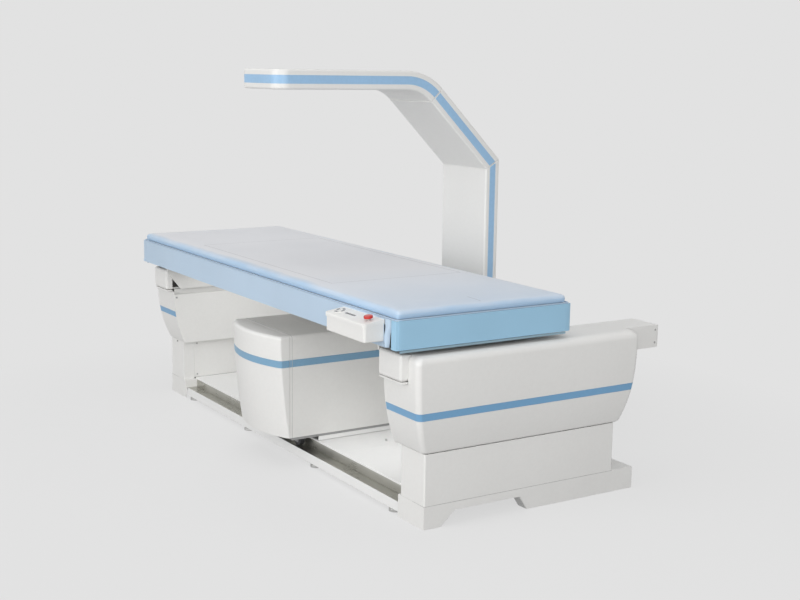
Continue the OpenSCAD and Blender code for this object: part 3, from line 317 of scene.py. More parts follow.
def metal_group() -> bpy.types.NodeTree:
    """Build the group for drawn metal: grain along one way, patches of dullness and fine scratches.

    Returns:
        The node group.
    """
    work = GroupWork("drawn_metal", [("Gloss", 0.3), ("Cloud", 0.06), ("Grain", 1.0)])
    stretch = work.add("ShaderNodeMapping")
    stretch.inputs["Scale"].default_value = DRAWN_STRETCH
    work.join(work.place, stretch.inputs["Vector"])
    line = work.noise(stretch.outputs["Vector"], Noise.DRAWN)
    patch = work.noise(work.place, Noise.DULL)
    work.tone(work.given["Color"], work.sum("ADD", work.swing(patch), work.span(line, -0.05, 0.05)))
    rough = work.sum("ADD", work.given["Gloss"], work.span(patch, -0.08, 0.12))
    work.join(work.sum("ADD", rough, work.span(line, -0.04, 0.04)), work.result["Roughness"])
    work.join(work.sum("MULTIPLY", line, work.given["Grain"]), work.result["Height"])
    return work.tree


def pad_group() -> bpy.types.NodeTree:
    """Build the group for the pad's cover: grey, blue towards its edges, with the scan field's welded line.

    Returns:
        The node group.
    """
    values = [("Gloss", 0.5), ("Cloud", 0.03), ("Grain", 1.0), ("Edge Color", (0.440, 0.610, 0.800, 1.0))]
    work = GroupWork("pad_cover", values)
    split = work.add("ShaderNodeSeparateXYZ")
    work.join(work.place, split.inputs[0])
    x, y, z = (split.outputs[axis] for axis in "XYZ")

    def beyond(plan: Sequence[Sequence[float]]) -> Socket:
        """Give how far a place lies outside a rectangle.

        Args:
            plan: The rectangle's middle and half span, along X and along Y.

        Returns:
            The distance's socket, less than 0 inside.
        """
        ways = []
        for value, (middle, half) in zip((x, y), plan):
            off = work.sum("ABSOLUTE", work.sum("SUBTRACT", value, middle), 0.0)
            ways.append(work.sum("SUBTRACT", off, half))
        return work.sum("MAXIMUM", *ways)

    ragged = work.span(work.noise(work.place, Noise.DYE), -0.006, 0.006)
    fade = work.span(work.sum("ADD", beyond(PAD_RIM), ragged), 0.0, 1.0, -0.034, -0.002)
    # Bluer and darker towards the near end, along X.
    near_end = work.span(x, 0.0, 0.50, 0.30, 0.95)
    lower = work.span(z, 1.0, 0.0, 0.652, 0.662)
    mix = work.add("ShaderNodeMix", data_type="RGBA")
    work.join(work.sum("MAXIMUM", work.sum("MAXIMUM", fade, near_end), lower), mix.inputs[0])
    work.join(work.given["Color"], mix.inputs[6])
    work.join(work.given["Edge Color"], mix.inputs[7])
    field_line = work.span(work.sum("ABSOLUTE", beyond(PAD_FIELD), 0.0), 1.0, 0.0, 0.0006, 0.0018)
    line = work.sum("MAXIMUM", field_line, work.span(beyond(PAD_TICK), 1.0, 0.0, 0.0, 0.0012))
    height = work.sum("SUBTRACT", work.grain()[1], work.sum("MULTIPLY", line, 3.0))
    work.join(height, work.result["Height"])
    swing = work.swing(work.noise(work.place, Noise.FABRIC_CLOUD))
    work.tone(mix.outputs[2], work.sum("SUBTRACT", swing, work.sum("MULTIPLY", line, 0.42)))
    return work.tree


class Surface(Enum):
    """The kinds of surface, each with its node group's builder."""

    PAD = (pad_group,)
    PAINT = (paint_group,)
    VINYL = (vinyl_group,)
    METAL = (metal_group,)


GROUPS: dict[Surface, bpy.types.NodeTree] = {}
COATS: dict[str, bpy.types.Material] = {}


def sprayed(cloud: float, peel: float, grime: float) -> tuple[tuple[str, float], ...]:
    """Give the values of a sprayed or moulded surface: its clouds, orange peel and floor dust."""
    return ("Cloud", cloud), ("Peel", peel), ("Grime", grime)


def grained(cloud: float, grain: float) -> tuple[tuple[str, float], ...]:
    """Give the values of coated fabric or drawn metal: its clouds and its grain."""
    return ("Cloud", cloud), ("Grain", grain)


@dataclass(frozen=True)
class Finish:
    """A finish: its surface, colour and gloss, and the record's slot that it belongs to."""

    name: str
    slot: str
    colour: tuple[float, float, float]
    surface: Surface = Surface.PAINT
    gloss: float = 0.42
    values: tuple[tuple[str, float], ...] = ()
    metallic: float = 0.0
    specular: float = 0.5
    coat: float = 0.0
    sheen: float = 0.0
    bump: float = 0.02
    depth: float = 0.0002

    def material(self) -> bpy.types.Material:
        """Give the finish's material, made when it is first asked for.

        Returns:
            The material.
        """
        if self.name in COATS:
            return COATS[self.name]
        if self.surface not in GROUPS:
            GROUPS[self.surface] = self.surface.value[0]()
        made = bpy.data.materials.new(self.name)
        made.use_nodes = True
        work = NodeWork(made.node_tree)
        shader = made.node_tree.nodes["Principled BSDF"]
        group = work.add("ShaderNodeGroup", node_tree=GROUPS[self.surface])
        group.inputs["Color"].default_value = (*self.colour, 1.0)
        group.inputs["Gloss"].default_value = self.gloss
        for label, number in self.values:
            group.inputs[label].default_value = number
        work.join(group.outputs["Color"], shader.inputs["Base Color"])
        work.join(group.outputs["Roughness"], shader.inputs["Roughness"])
        bump = work.add("ShaderNodeBump")
        bump.inputs["Strength"].default_value = self.bump
        bump.inputs["Distance"].default_value = self.depth
        work.join(group.outputs["Height"], bump.inputs["Height"])
        work.join(bump.outputs["Normal"], shader.inputs["Normal"])
        shader.inputs["Metallic"].default_value = self.metallic
        shader.inputs["Specular IOR Level"].default_value = self.specular
        shader.inputs["Coat Weight"].default_value = self.coat
        shader.inputs["Sheen Weight"].default_value = self.sheen
        COATS[self.name] = made
        return made


WHITE = Finish("white_enamel", "white_cover", (0.845, 0.840, 0.822), gloss=0.40,
               values=sprayed(0.018, 1.0, 0.04), bump=0.10)
# A lighter copy of the white enamel on the same slot: painted light that lifts the deck, the side plates and
# the scanner's hems out of the shade under the table.
LIGHTENED_DECK = Finish("deck_enamel_painted_light", "white_cover", (0.90, 0.90, 0.89), gloss=0.46,
              values=sprayed(0.015, 1.0, 0.02), bump=0.08)
GREY = Finish("grey_enamel", "panel_grey", (0.83, 0.825, 0.805), gloss=0.45,
              values=sprayed(0.02, 1.0, 0.05), bump=0.12)
BLUE = Finish("blue_trim", "stripe_blue", (0.185, 0.400, 0.640), gloss=0.36,
              values=sprayed(0.03, 0.5, 0.0), bump=0.06)
# A greyer, darker copy of the stripe blue: painted shade for the scanner's stripe, which stands in the shade
# under the table.
SHADED_SCANNER_BLUE = Finish("scanner_stripe_blue_shaded", "stripe_blue", (0.215, 0.400, 0.575), gloss=0.4,
                      values=sprayed(0.04, 0.6, 0.0), bump=0.1)
ARM_BLUE = Finish("arm_trim", "stripe_blue", (0.345, 0.560, 0.800), gloss=0.38,
                  values=sprayed(0.05, 0.5, 0.0), bump=0.06)
SKIRT = Finish("skirt_vinyl", "skirt_blue", (0.355, 0.605, 0.800), Surface.VINYL, 0.46,
               values=grained(0.035, 1.0), bump=0.25, depth=0.0004, sheen=0.05)
SIDE_SKIRT = Finish("side_skirt_vinyl", "skirt_blue", (0.525, 0.665, 0.815), Surface.VINYL, 0.46,
                    values=grained(0.035, 1.0), bump=0.25, depth=0.0004, sheen=0.05)
PAD = Finish("pad_vinyl", "pad_vinyl", (0.830, 0.842, 0.878), Surface.PAD, 0.42,
             values=grained(0.02, 1.0), bump=0.22, depth=0.0004, sheen=0.05)
SEAM = Finish("seam_shadow_grey", "panel_grey", (0.520, 0.520, 0.510), gloss=0.35,
              values=sprayed(0.04, 0.5, 0.0), bump=0.1)
TEAL = Finish("edge_laminate", "skirt_blue", (0.300, 0.440, 0.520), gloss=0.5,
              values=sprayed(0.05, 0.5, 0.0), bump=0.1)
PIPING = Finish("blue_piping", "skirt_blue", (0.460, 0.590, 0.740), Surface.VINYL, 0.5,
                values=grained(0.03, 1.0), bump=0.2)
STEEL = Finish("brushed_stainless", "steel", (0.535, 0.530, 0.490), Surface.METAL, 0.30,
               metallic=1.0, bump=0.12)
ZINC = Finish("zinc_plate", "steel", (0.48, 0.48, 0.47), Surface.METAL, 0.42,
              values=grained(0.10, 0.4), metallic=1.0, bump=0.10)
PRIMER = Finish("grey_primer", "steel", (0.33, 0.33, 0.33), gloss=0.55,
                values=sprayed(0.06, 1.0, 0.15), bump=0.15)
DARK = Finish("black_plastic", "dark_plastic", (0.030, 0.031, 0.034), gloss=0.48,
              values=sprayed(0.15, 1.0, 0.0), bump=0.18)
KEY = Finish("key_plastic", "key_grey", (0.085, 0.095, 0.115), gloss=0.42,
             values=sprayed(0.12, 0.8, 0.0), bump=0.12)
RED = Finish("red_plastic", "red_plastic", (0.560, 0.022, 0.014), gloss=0.26,
             values=sprayed(0.05, 0.4, 0.0), coat=0.4, bump=0.05)
LENS = Finish("smoked_lens", "dark_window", (0.014, 0.016, 0.022), gloss=0.12,
              values=sprayed(0.1, 0.2, 0.0), coat=0.5, bump=0.02)
RUBBER = Finish("black_rubber", "belt_rubber", (0.022, 0.022, 0.023), gloss=0.72,
                values=sprayed(0.2, 1.5, 0.0), specular=0.3, bump=0.35)


# ---- The bench: pieces shaped by operators ----


def clear_selection() -> None:
    """Leave nothing selected, in object mode."""
    if bpy.context.object and bpy.context.object.mode != "OBJECT":
        bpy.ops.object.mode_set(mode="OBJECT")
    bpy.ops.object.select_all(action="DESELECT")


def link(name: str, data: bpy.types.ID) -> bpy.types.Object:
    """Make an object of a mesh, a light or a camera and put it in the scene.

    Args:
        name: Name of the object.
        data: What it shows.

    Returns:
        The object.
    """
    obj = bpy.data.objects.new(name, data)
    bpy.context.scene.collection.objects.link(obj)
    return obj


@dataclass(frozen=True)
class EndBox:
    """A box at one end of the machine, by its spans in millimetres: outwards, along Y and up."""

    out: tuple[float, float]
    along: tuple[float, float]
    up: tuple[float, float]

    def at(self, side: Side) -> tuple[tuple[float, ...], tuple[float, ...]]:
        """Give the box's lowest and highest corner at one end.

        Args:
            side: The end.

        Returns:
            The two corners, in metres.
        """
        spans = (sorted(side.value * x for x in self.out), self.along, self.up)
        low, high = (tuple(value * MM for value in corner) for corner in zip(*spans))
        return low, high


@dataclass
class Work:
    """One piece on the bench: its object, and the operators that shape it."""

    obj: bpy.types.Object

    @classmethod
    def adopt(cls, name: str) -> "Work":
        """Take the new primitive as a piece, with its place put into its mesh.

        Args:
            name: Name of the piece.

        Returns:
            The piece.
        """
        obj = bpy.context.object
        obj.name = name
        obj.data.name = name
        bpy.ops.object.transform_apply(location=True, rotation=True, scale=True)
        return cls(obj)

    @classmethod
    def block(cls, name: str, low: Sequence[float], high: Sequence[float]) -> "Work":
        """Start from a cube between two corners.

        Args:
            name: Name of the piece.
            low: Lowest corner.
            high: Highest corner.

        Returns:
            The piece.
        """
        clear_selection()
        a, b = Vector(low), Vector(high)
        bpy.ops.mesh.primitive_cube_add(size=1, location=(a + b) / 2, scale=b - a)
        return cls.adopt(name)

    @classmethod
    def plate(cls, name: str, low: Sequence[float], high: Sequence[float],
              cuts: tuple[int, int] = (1, 1)) -> "Work":
        """Start from a level grid between two corners at the height of the first.

        Args:
            name: Name of the piece.
            low: Lowest corner.
            high: Highest corner.
            cuts: Cells along X and Y.

        Returns:
            The piece.
        """
        clear_selection()
        mid = ((low[0] + high[0]) / 2, (low[1] + high[1]) / 2, low[2])
        bpy.ops.mesh.primitive_grid_add(x_subdivisions=cuts[0], y_subdivisions=cuts[1], size=1, location=mid)
        work = cls.adopt(name)
        return work.resize_all((high[0] - low[0], high[1] - low[1], 1), mid)

    @classmethod
    def rod(cls, name: str, start: Sequence[float], end: Sequence[float], radius: float,
            sides: int = 48) -> "Work":
        """Start from a cylinder between the centres of its two ends.

        Args:
            name: Name of the piece.
            start: Centre of one end.
            end: Centre of the other end.
            radius: Radius of the rod.
            sides: Faces round it.

        Returns:
            The piece.
        """
        clear_selection()
        a, b = Vector(start), Vector(end)
        turn = Vector((0, 0, 1)).rotation_difference(b - a).to_euler()
        bpy.ops.mesh.primitive_cylinder_add(
            vertices=sides, radius=radius, depth=(b - a).length, location=(a + b) / 2, rotation=turn
        )
        return cls.adopt(name)

    @classmethod
    def copy_of(cls, node: str) -> "Work":
        """Copy a frame node's mesh and merge its loose triangles into whole faces.

        Args:
            node: Name of the frame node.

        Returns:
            The piece, named after the node.
        """
        clear_selection()
        obj = link(f"{node}_finish", frame["nodes"][node].data.copy())
        obj.data.materials.clear()
        work = cls(obj)
        work.pick(Pick.VERT, lambda co: True)
        bpy.ops.mesh.remove_doubles(threshold=TINY)
        bpy.ops.mesh.dissolve_limited(angle_limit=math.radians(FLAT_ANGLE))
        return work.rest()

    @classmethod
    def union(cls, name: str, parts: Sequence["Work"]) -> "Work":
        """Join pieces into one.

        Args:
            name: Name of the whole.
            parts: The pieces.

        Returns:
            The whole.
        """
        whole = parts[0].join(parts[1:])
        whole.obj.name = name
        return whole

    def wake(self) -> None:
        """Make this the one selected and active object."""
        clear_selection()
        self.obj.select_set(True)
        bpy.context.view_layer.objects.active = self.obj

    def rest(self) -> "Work":
        """Go back to object mode with only this piece selected."""
        self.wake()
        return self

    def pick(self, kind: Pick, test: Callable[..., bool]) -> "Work":
        """Select elements in edit mode by their place.

        Args:
            kind: What to select.
            test: Called with a vertex's place, an edge's two places, or a face's centre and normal.

        Returns:
            This piece, in edit mode.
        """
        self.wake()
        bpy.ops.object.mode_set(mode="EDIT")
        bpy.ops.mesh.select_mode(type=kind.value)
        bpy.ops.mesh.select_all(action="DESELECT")
        bpy.ops.object.mode_set(mode="OBJECT")
        mesh = self.obj.data
        if kind is Pick.VERT:
            for vert in mesh.vertices:
                vert.select = test(vert.co)
        elif kind is Pick.EDGE:
            for edge in mesh.edges:
                edge.select = test(*(mesh.vertices[i].co for i in edge.vertices))
        else:
            for face in mesh.polygons:
                face.select = test(face.center, face.normal)
        bpy.ops.object.mode_set(mode="EDIT")
        return self

    def all(self) -> "Work":
        """Select the whole mesh in edit mode."""
        return self.pick(Pick.VERT, lambda co: True)

    def extrude(self, x: float, y: float, z: float) -> "Work":
        """Extrude what is selected by a step."""
        bpy.ops.mesh.extrude_region_move(TRANSFORM_OT_translate={"value": (x, y, z)})
        return self

    def swell(self, depth: float) -> "Work":
        """Extrude the selected faces along their normals by a depth, inwards if it is negative."""
        bpy.ops.mesh.extrude_region_shrink_fatten(TRANSFORM_OT_shrink_fatten={"value": depth})
        return self

    def resize(self, scale: Sequence[float], centre: Sequence[float]) -> "Work":
        """Scale what is selected about a centre."""
        bpy.ops.transform.resize(value=scale, center_override=centre)
        return self

    def resize_all(self, scale: Sequence[float], centre: Sequence[float]) -> "Work":
        """Scale the whole piece about a centre."""
        return self.all().resize(scale, centre).rest()

    def bevel(self, width: float, segments: int = 3, corners: bool = False) -> "Work":
        """Round the selected edges, or the selected corners of a flat outline.

        Args:
            width: Width of the rounding.
            segments: Faces across it.
            corners: Whether corners are rounded, and not edges.

        Returns:
            This piece, in edit mode.
        """
        affect = "VERTICES" if corners else "EDGES"
        bpy.ops.mesh.bevel(offset=width, segments=segments, affect=affect, clamp_overlap=False)
        return self

    def bisect(self, point: Sequence[float], normal: Sequence[float], drop: int = 0,
               fill: bool = False) -> "Work":
        """Cut the whole mesh by a plane.

        Args:
            point: A point of the plane.
            normal: Its normal.
            drop: 1 drops what lies on the normal's side, -1 drops the other side, 0 keeps both.
            fill: Whether the cut is closed.

        Returns:
            This piece.
        """
        self.all()
        bpy.ops.mesh.bisect(
            plane_co=point, plane_no=normal, use_fill=fill, clear_outer=drop > 0, clear_inner=drop < 0
        )
        return self

    def delete(self) -> "Work":
        """Delete the selected faces."""
        bpy.ops.mesh.delete(type="FACE")
        return self

    def face_out(self) -> "Work":
        """Turn all normals outwards.

        Returns:
            This piece.
        """
        self.all()
        bpy.ops.mesh.normals_make_consistent(inside=False)
        return self.rest()

    def modifier(self, kind: str, **settings: object) -> "Work":
        """Add a modifier and apply it.

        Args:
            kind: Type name of the modifier.
            settings: Its settings.

        Returns:
            This piece.
        """
        self.wake()
        bpy.ops.object.modifier_add(type=kind)
        added = self.obj.modifiers[-1]
        for key, value in settings.items():
            setattr(added, key, value)
        bpy.ops.object.modifier_apply(modifier=added.name)
        return self

    def soften(self, width: float, segments: int = 2, angle: float = 35.0, clamp: bool = True) -> "Work":
        """Round every edge that is sharper than an angle.

        Args:
            width: Width of the rounding.
            segments: Faces across it.
            angle: The angle, in degrees.
            clamp: Whether the rounding narrows where there is no room.

        Returns:
            This piece.
        """
        return self.modifier(
            "BEVEL", width=width, segments=segments, limit_method="ANGLE",
            angle_limit=math.radians(angle), use_clamp_overlap=clamp,
        )

    def wall(self, thickness: float, side: float = -1.0) -> "Work":
        """Give a skin a wall, on its inner side at -1 and on its outer side at 1."""
        return self.modifier("SOLIDIFY", thickness=thickness, offset=side, use_even_offset=True)

    def cut(self, tool: "Work") -> "Work":
        """Cut another piece's shape out of this one, and put the tool away.

        Args:
            tool: The other piece.

        Returns:
            This piece.
        """
        self.modifier("BOOLEAN", operation="DIFFERENCE", object=tool.obj, solver="EXACT")
        bpy.data.objects.remove(tool.obj)
        return self

    def copy(self, name: str) -> "Work":
        """Copy this piece with its own mesh."""
        return Work(link(name, self.obj.data.copy()))

    def mirror(self) -> "Work":
        """Turn this piece into its mirror image across the machine's middle."""
        return self.resize_all((-1, 1, 1), (0, 0, 0)).face_out()

    def shift(self, x: float, y: float, z: float) -> "Work":
        """Move the whole piece, in its mesh.

        Args:
            x: Step along X.
            y: Step along Y.
            z: Step upwards.

        Returns:
            This piece.
        """
        self.all()
        bpy.ops.transform.translate(value=(x, y, z))
        return self.rest()

    def join(self, others: Iterable["Work"]) -> "Work":
        """Join other pieces into this one.

        Args:
            others: The pieces to join.

        Returns:
            This piece.
        """
        self.wake()
        for other in others:
            other.obj.select_set(True)
        bpy.ops.object.join()
        return self

    def shape(self, law: Callable[[Vector], Vector]) -> "Work":
        """Move each vertex by a law of its place.

        Args:
            law: Gives a vertex's new place from its old one.

        Returns:
            This piece.
        """
        self.rest()
        for vert in self.obj.data.vertices:
            vert.co = law(vert.co)
        return self

    def outline(self) -> "Work":
        """Take the faces off a flat piece in edit mode, and keep its edges.

        Returns:
            This piece, in edit mode.
        """
        bpy.ops.mesh.select_all(action="SELECT")
        bpy.ops.mesh.delete(type="ONLY_FACE")
        return self

    def tube(self, radius: float, rounds: int, caps: bool = False) -> "Work":
        """Turn a piece that is only a line into a tube along it.

        Args:
            radius: Radius of the tube.
            rounds: Steps of its rounding.
            caps: Whether its ends are closed.

        Returns:
            The tube.
        """
        self.rest()
        bpy.ops.object.convert(target="CURVE")
        curve = bpy.context.object.data
        curve.bevel_depth = radius
        curve.bevel_resolution = rounds
        curve.use_fill_caps = caps
        bpy.ops.object.convert(target="MESH")
        return Work(bpy.context.object).face_out()

    def finish(self, body: Body, coat: Finish, replaces: Sequence[str] = (), angle: float = 34.0) -> "Work":
        """Smooth, paint and hang a finished piece.

        Args:
            body: Body that it rides on.
            coat: Its finish.
            replaces: Frame nodes that it stands for.
            angle: Edges sharper than this many degrees stay crisp.

        Returns:
            This piece.
        """
        self.rest()
        bpy.ops.object.shade_smooth_by_angle(angle=math.radians(angle))
        self.modifier("WEIGHTED_NORMAL", keep_sharp=True, weight=60)
        self.obj.data.materials.clear()
        self.obj.data.materials.append(coat.material())
        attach(self.obj, body.value)
        if replaces:
            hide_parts(*replaces)
        LOG.info("%s: %d faces, %s", self.obj.name, len(self.obj.data.polygons), coat.name)
        return self


def paint_nodes(*coats: tuple[str, Finish]) -> None:
    """Give frame nodes their finishes and leave their shapes alone.

    Args:
        coats: Names of the nodes, each with its finish.
    """
    for node, coat in coats:
        obj = frame["nodes"][node]
        obj.data.materials.clear()
        obj.data.materials.append(coat.material())
        LOG.info("%s: as built, %s", node, coat.name)


def body_of(node: str) -> Body:
    """Give the body that a frame node belongs to."""
    return Body(frame["nodes"][node]["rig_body"])


def round_off(node: str, width: float, coat: Finish, segments: int = 2) -> Work:
    """Replace a frame node by its own shape with rounded edges.

    Args:
        node: Name of the frame node.
        width: Width of the rounding.
        coat: Its finish.
        segments: Faces across the rounding.

    Returns:
        The piece.
    """
    work = Work.copy_of(node).soften(width, segments)
    return work.finish(body_of(node), coat, [node])


def stripe_from(skin: Work, name: str, stripe: tuple[float, float], groove: float) -> Work:
    """Cut a stripe from the floor of the groove in a skin.

    Args:
        skin: The grooved skin.
        name: Name of the stripe.
        stripe: Heights of the groove's edges.
        groove: Its depth.

    Returns:
        The stripe.
    """
    low, high = stripe
    band = skin.copy(name)
    band.pick(Pick.FACE, lambda c, n: not (low + TINY < c.z < high - TINY and abs(n.z) < 0.5)).delete()
    band.resize_all((1, 1, STRIPE_SHARE), (0, 0, (low + high) / 2))
    return band.modifier("SOLIDIFY", thickness=groove * STRIPE_PROUD, offset=1.0).soften(STRIPE_EDGE, 2, 50)


# ---- The base ----


@dataclass
class Base:
    """Feet, plinths, rail and deck that carry the machine."""

    pad_radius: float = 20 * MM
    pad_height: float = 9 * MM
    pad_rim: float = 5 * MM
    pad_crown: float = 2.5 * MM
    stud_radius: float = 5 * MM
    stud_span: tuple[float, float] = (8 * MM, 36.5 * MM)
    nut_radius: float = 10.8 * MM
    nut_span: tuple[float, float] = (14 * MM, 21.6 * MM)
    foot_rows: tuple[float, float] = (-346 * MM, 395 * MM)
    foot_columns: tuple[float, ...] = (-771 * MM, -261.7 * MM, 261.7 * MM, 771 * MM)
    arch: tuple[tuple[float, float], ...] = (
        (-308 * MM, 0.0), (-256 * MM, 45 * MM), (-15 * MM, 45 * MM), (14 * MM, 0.0)
    )
    arch_depth: tuple[float, float] = (920 * MM, 958 * MM)
    # Thickness of the arches' shadow-grey sheets: painted shade in the hollow of each arch.
    liner: float = 2.0 * MM
    jamb: EndBox = EndBox((917, 965), (-60, 14.7), (-2, 44.9))
    gasket: EndBox = EndBox((900, 963.3), (-367.3, 353.3), (70.2, 71.6))

    def foot(self) -> Work:
        """Model one levelling foot at the origin.

        Returns:
            The foot: a disc, its stud and its nut.
        """
        disc = Work.rod("levelling_foot", (0, 0, 0), (0, 0, self.pad_height), self.pad_radius, 64)
        disc.pick(Pick.FACE, lambda c, n: n.z > 0.9)
        bpy.ops.mesh.inset(thickness=self.pad_rim)
        disc.extrude(0, 0, self.pad_crown).resize((0.7, 0.7, 1), (0, 0, self.pad_height))
        disc.rest().soften(1.2 * MM, 3, 30)
        low, high = self.stud_span
        stud = Work.rod("stud", (0, 0, low), (0, 0, high), self.stud_radius, 32).soften(0.8 * MM, 2)
        low, high = self.nut_span
        nut = Work.rod("nut", (0, 0, low), (0, 0, high), self.nut_radius, 6).soften(0.7 * MM, 2)
        return disc.join([stud, nut])

    def plinths(self) -> None:
        """Round the plinths, with the arches' rear jambs cut steep."""
        work = Work.copy_of("end_plinths")
        top_y = self.arch[2][0]
        for side in Side:
            tool = Work.block("jamb", *self.jamb.at(side))
            work.cut(tool.shape(lambda co: Vector((co.x, min(co.y, top_y), co.z)) if co.z > 0 else co))
        work.soften(1.6 * MM, 2).finish(Body.BASE, WHITE, ["end_plinths"])

    def arch_shade_liner(self, side: Side) -> None:
        """Line the arch in a plinth's foot with a thin sheet of shadow grey: painted shade in the arch's
        hollow.

        Args:
            side: The end that the plinth stands at.
        """
        parts = []
        xs = sorted(side.value * x for x in self.arch_depth)
        for (y0, z0), (y1, z1) in zip(self.arch, self.arch[1:]):
            length = math.hypot(y1 - y0, z1 - z0)
            along = ((y1 - y0) / length, (z1 - z0) / length)

            def law(co: Vector) -> Vector:
                """Lay a point of the flat strip under the arch's outline.

                Args:
                    co: The point, with its run along the outline as Y.

                Returns:
                    Its place, not under the floor.
                """
                y = y0 + along[0] * co.y + along[1] * co.z
                return Vector((co.x, y, max(z0 + along[1] * co.y - along[0] * co.z, 0.0)))

            parts.append(Work.block("liner", (xs[0], 0, 0), (xs[1], length, self.liner)).shape(law))
        whole = Work.union(f"arch_shade_liner_{side.name.lower()}", parts)
        whole.face_out().soften(0.2 * MM, 1).finish(Body.BASE, SEAM)

    def joint_line(self, side: Side) -> None:
        """Show the gasket between a plinth and the cover that stands on it.

        Args:
            side: The end that the plinth stands at.
        """
        line = Work.block(f"plinth_gasket_{side.name.lower()}", *self.gasket.at(side))
        line.soften(0.3 * MM, 1).finish(Body.BASE, SEAM)

    def build(self) -> None:
        """Build the feet and finish the base's pieces."""
        one = self.foot()
        feet = [one.copy("foot_copy").shift(x, y, 0) for x in self.foot_columns for y in self.foot_rows]
        bpy.data.objects.remove(one.obj)
        Work.union("levelling_foot_set", feet).finish(Body.BASE, ZINC, ["levelling_feet"])
        for side in Side:
            self.arch_shade_liner(side)
            self.joint_line(side)
        self.plinths()
        # The side plates and deck panels wear the lightened deck enamel: painted light against the shade
        # under the table.
        round_off("side_plates", 0.8 * MM, LIGHTENED_DECK)
        round_off("front_rail", 0.7 * MM, STEEL)
        round_off("deck_panels", 1.2 * MM, LIGHTENED_DECK)
        round_off("mains_inlet", 0.6 * MM, DARK)
        round_off("mains_switch", 0.6 * MM, DARK)
        paint_nodes(
            ("base_frame", PRIMER), ("scanner_rail", STEEL), ("drive_belt", RUBBER), ("drive_motor", DARK),
            ("drive_pulley", ZINC), ("idler_pulley", ZINC),
        )


# ---- The pedestals ----


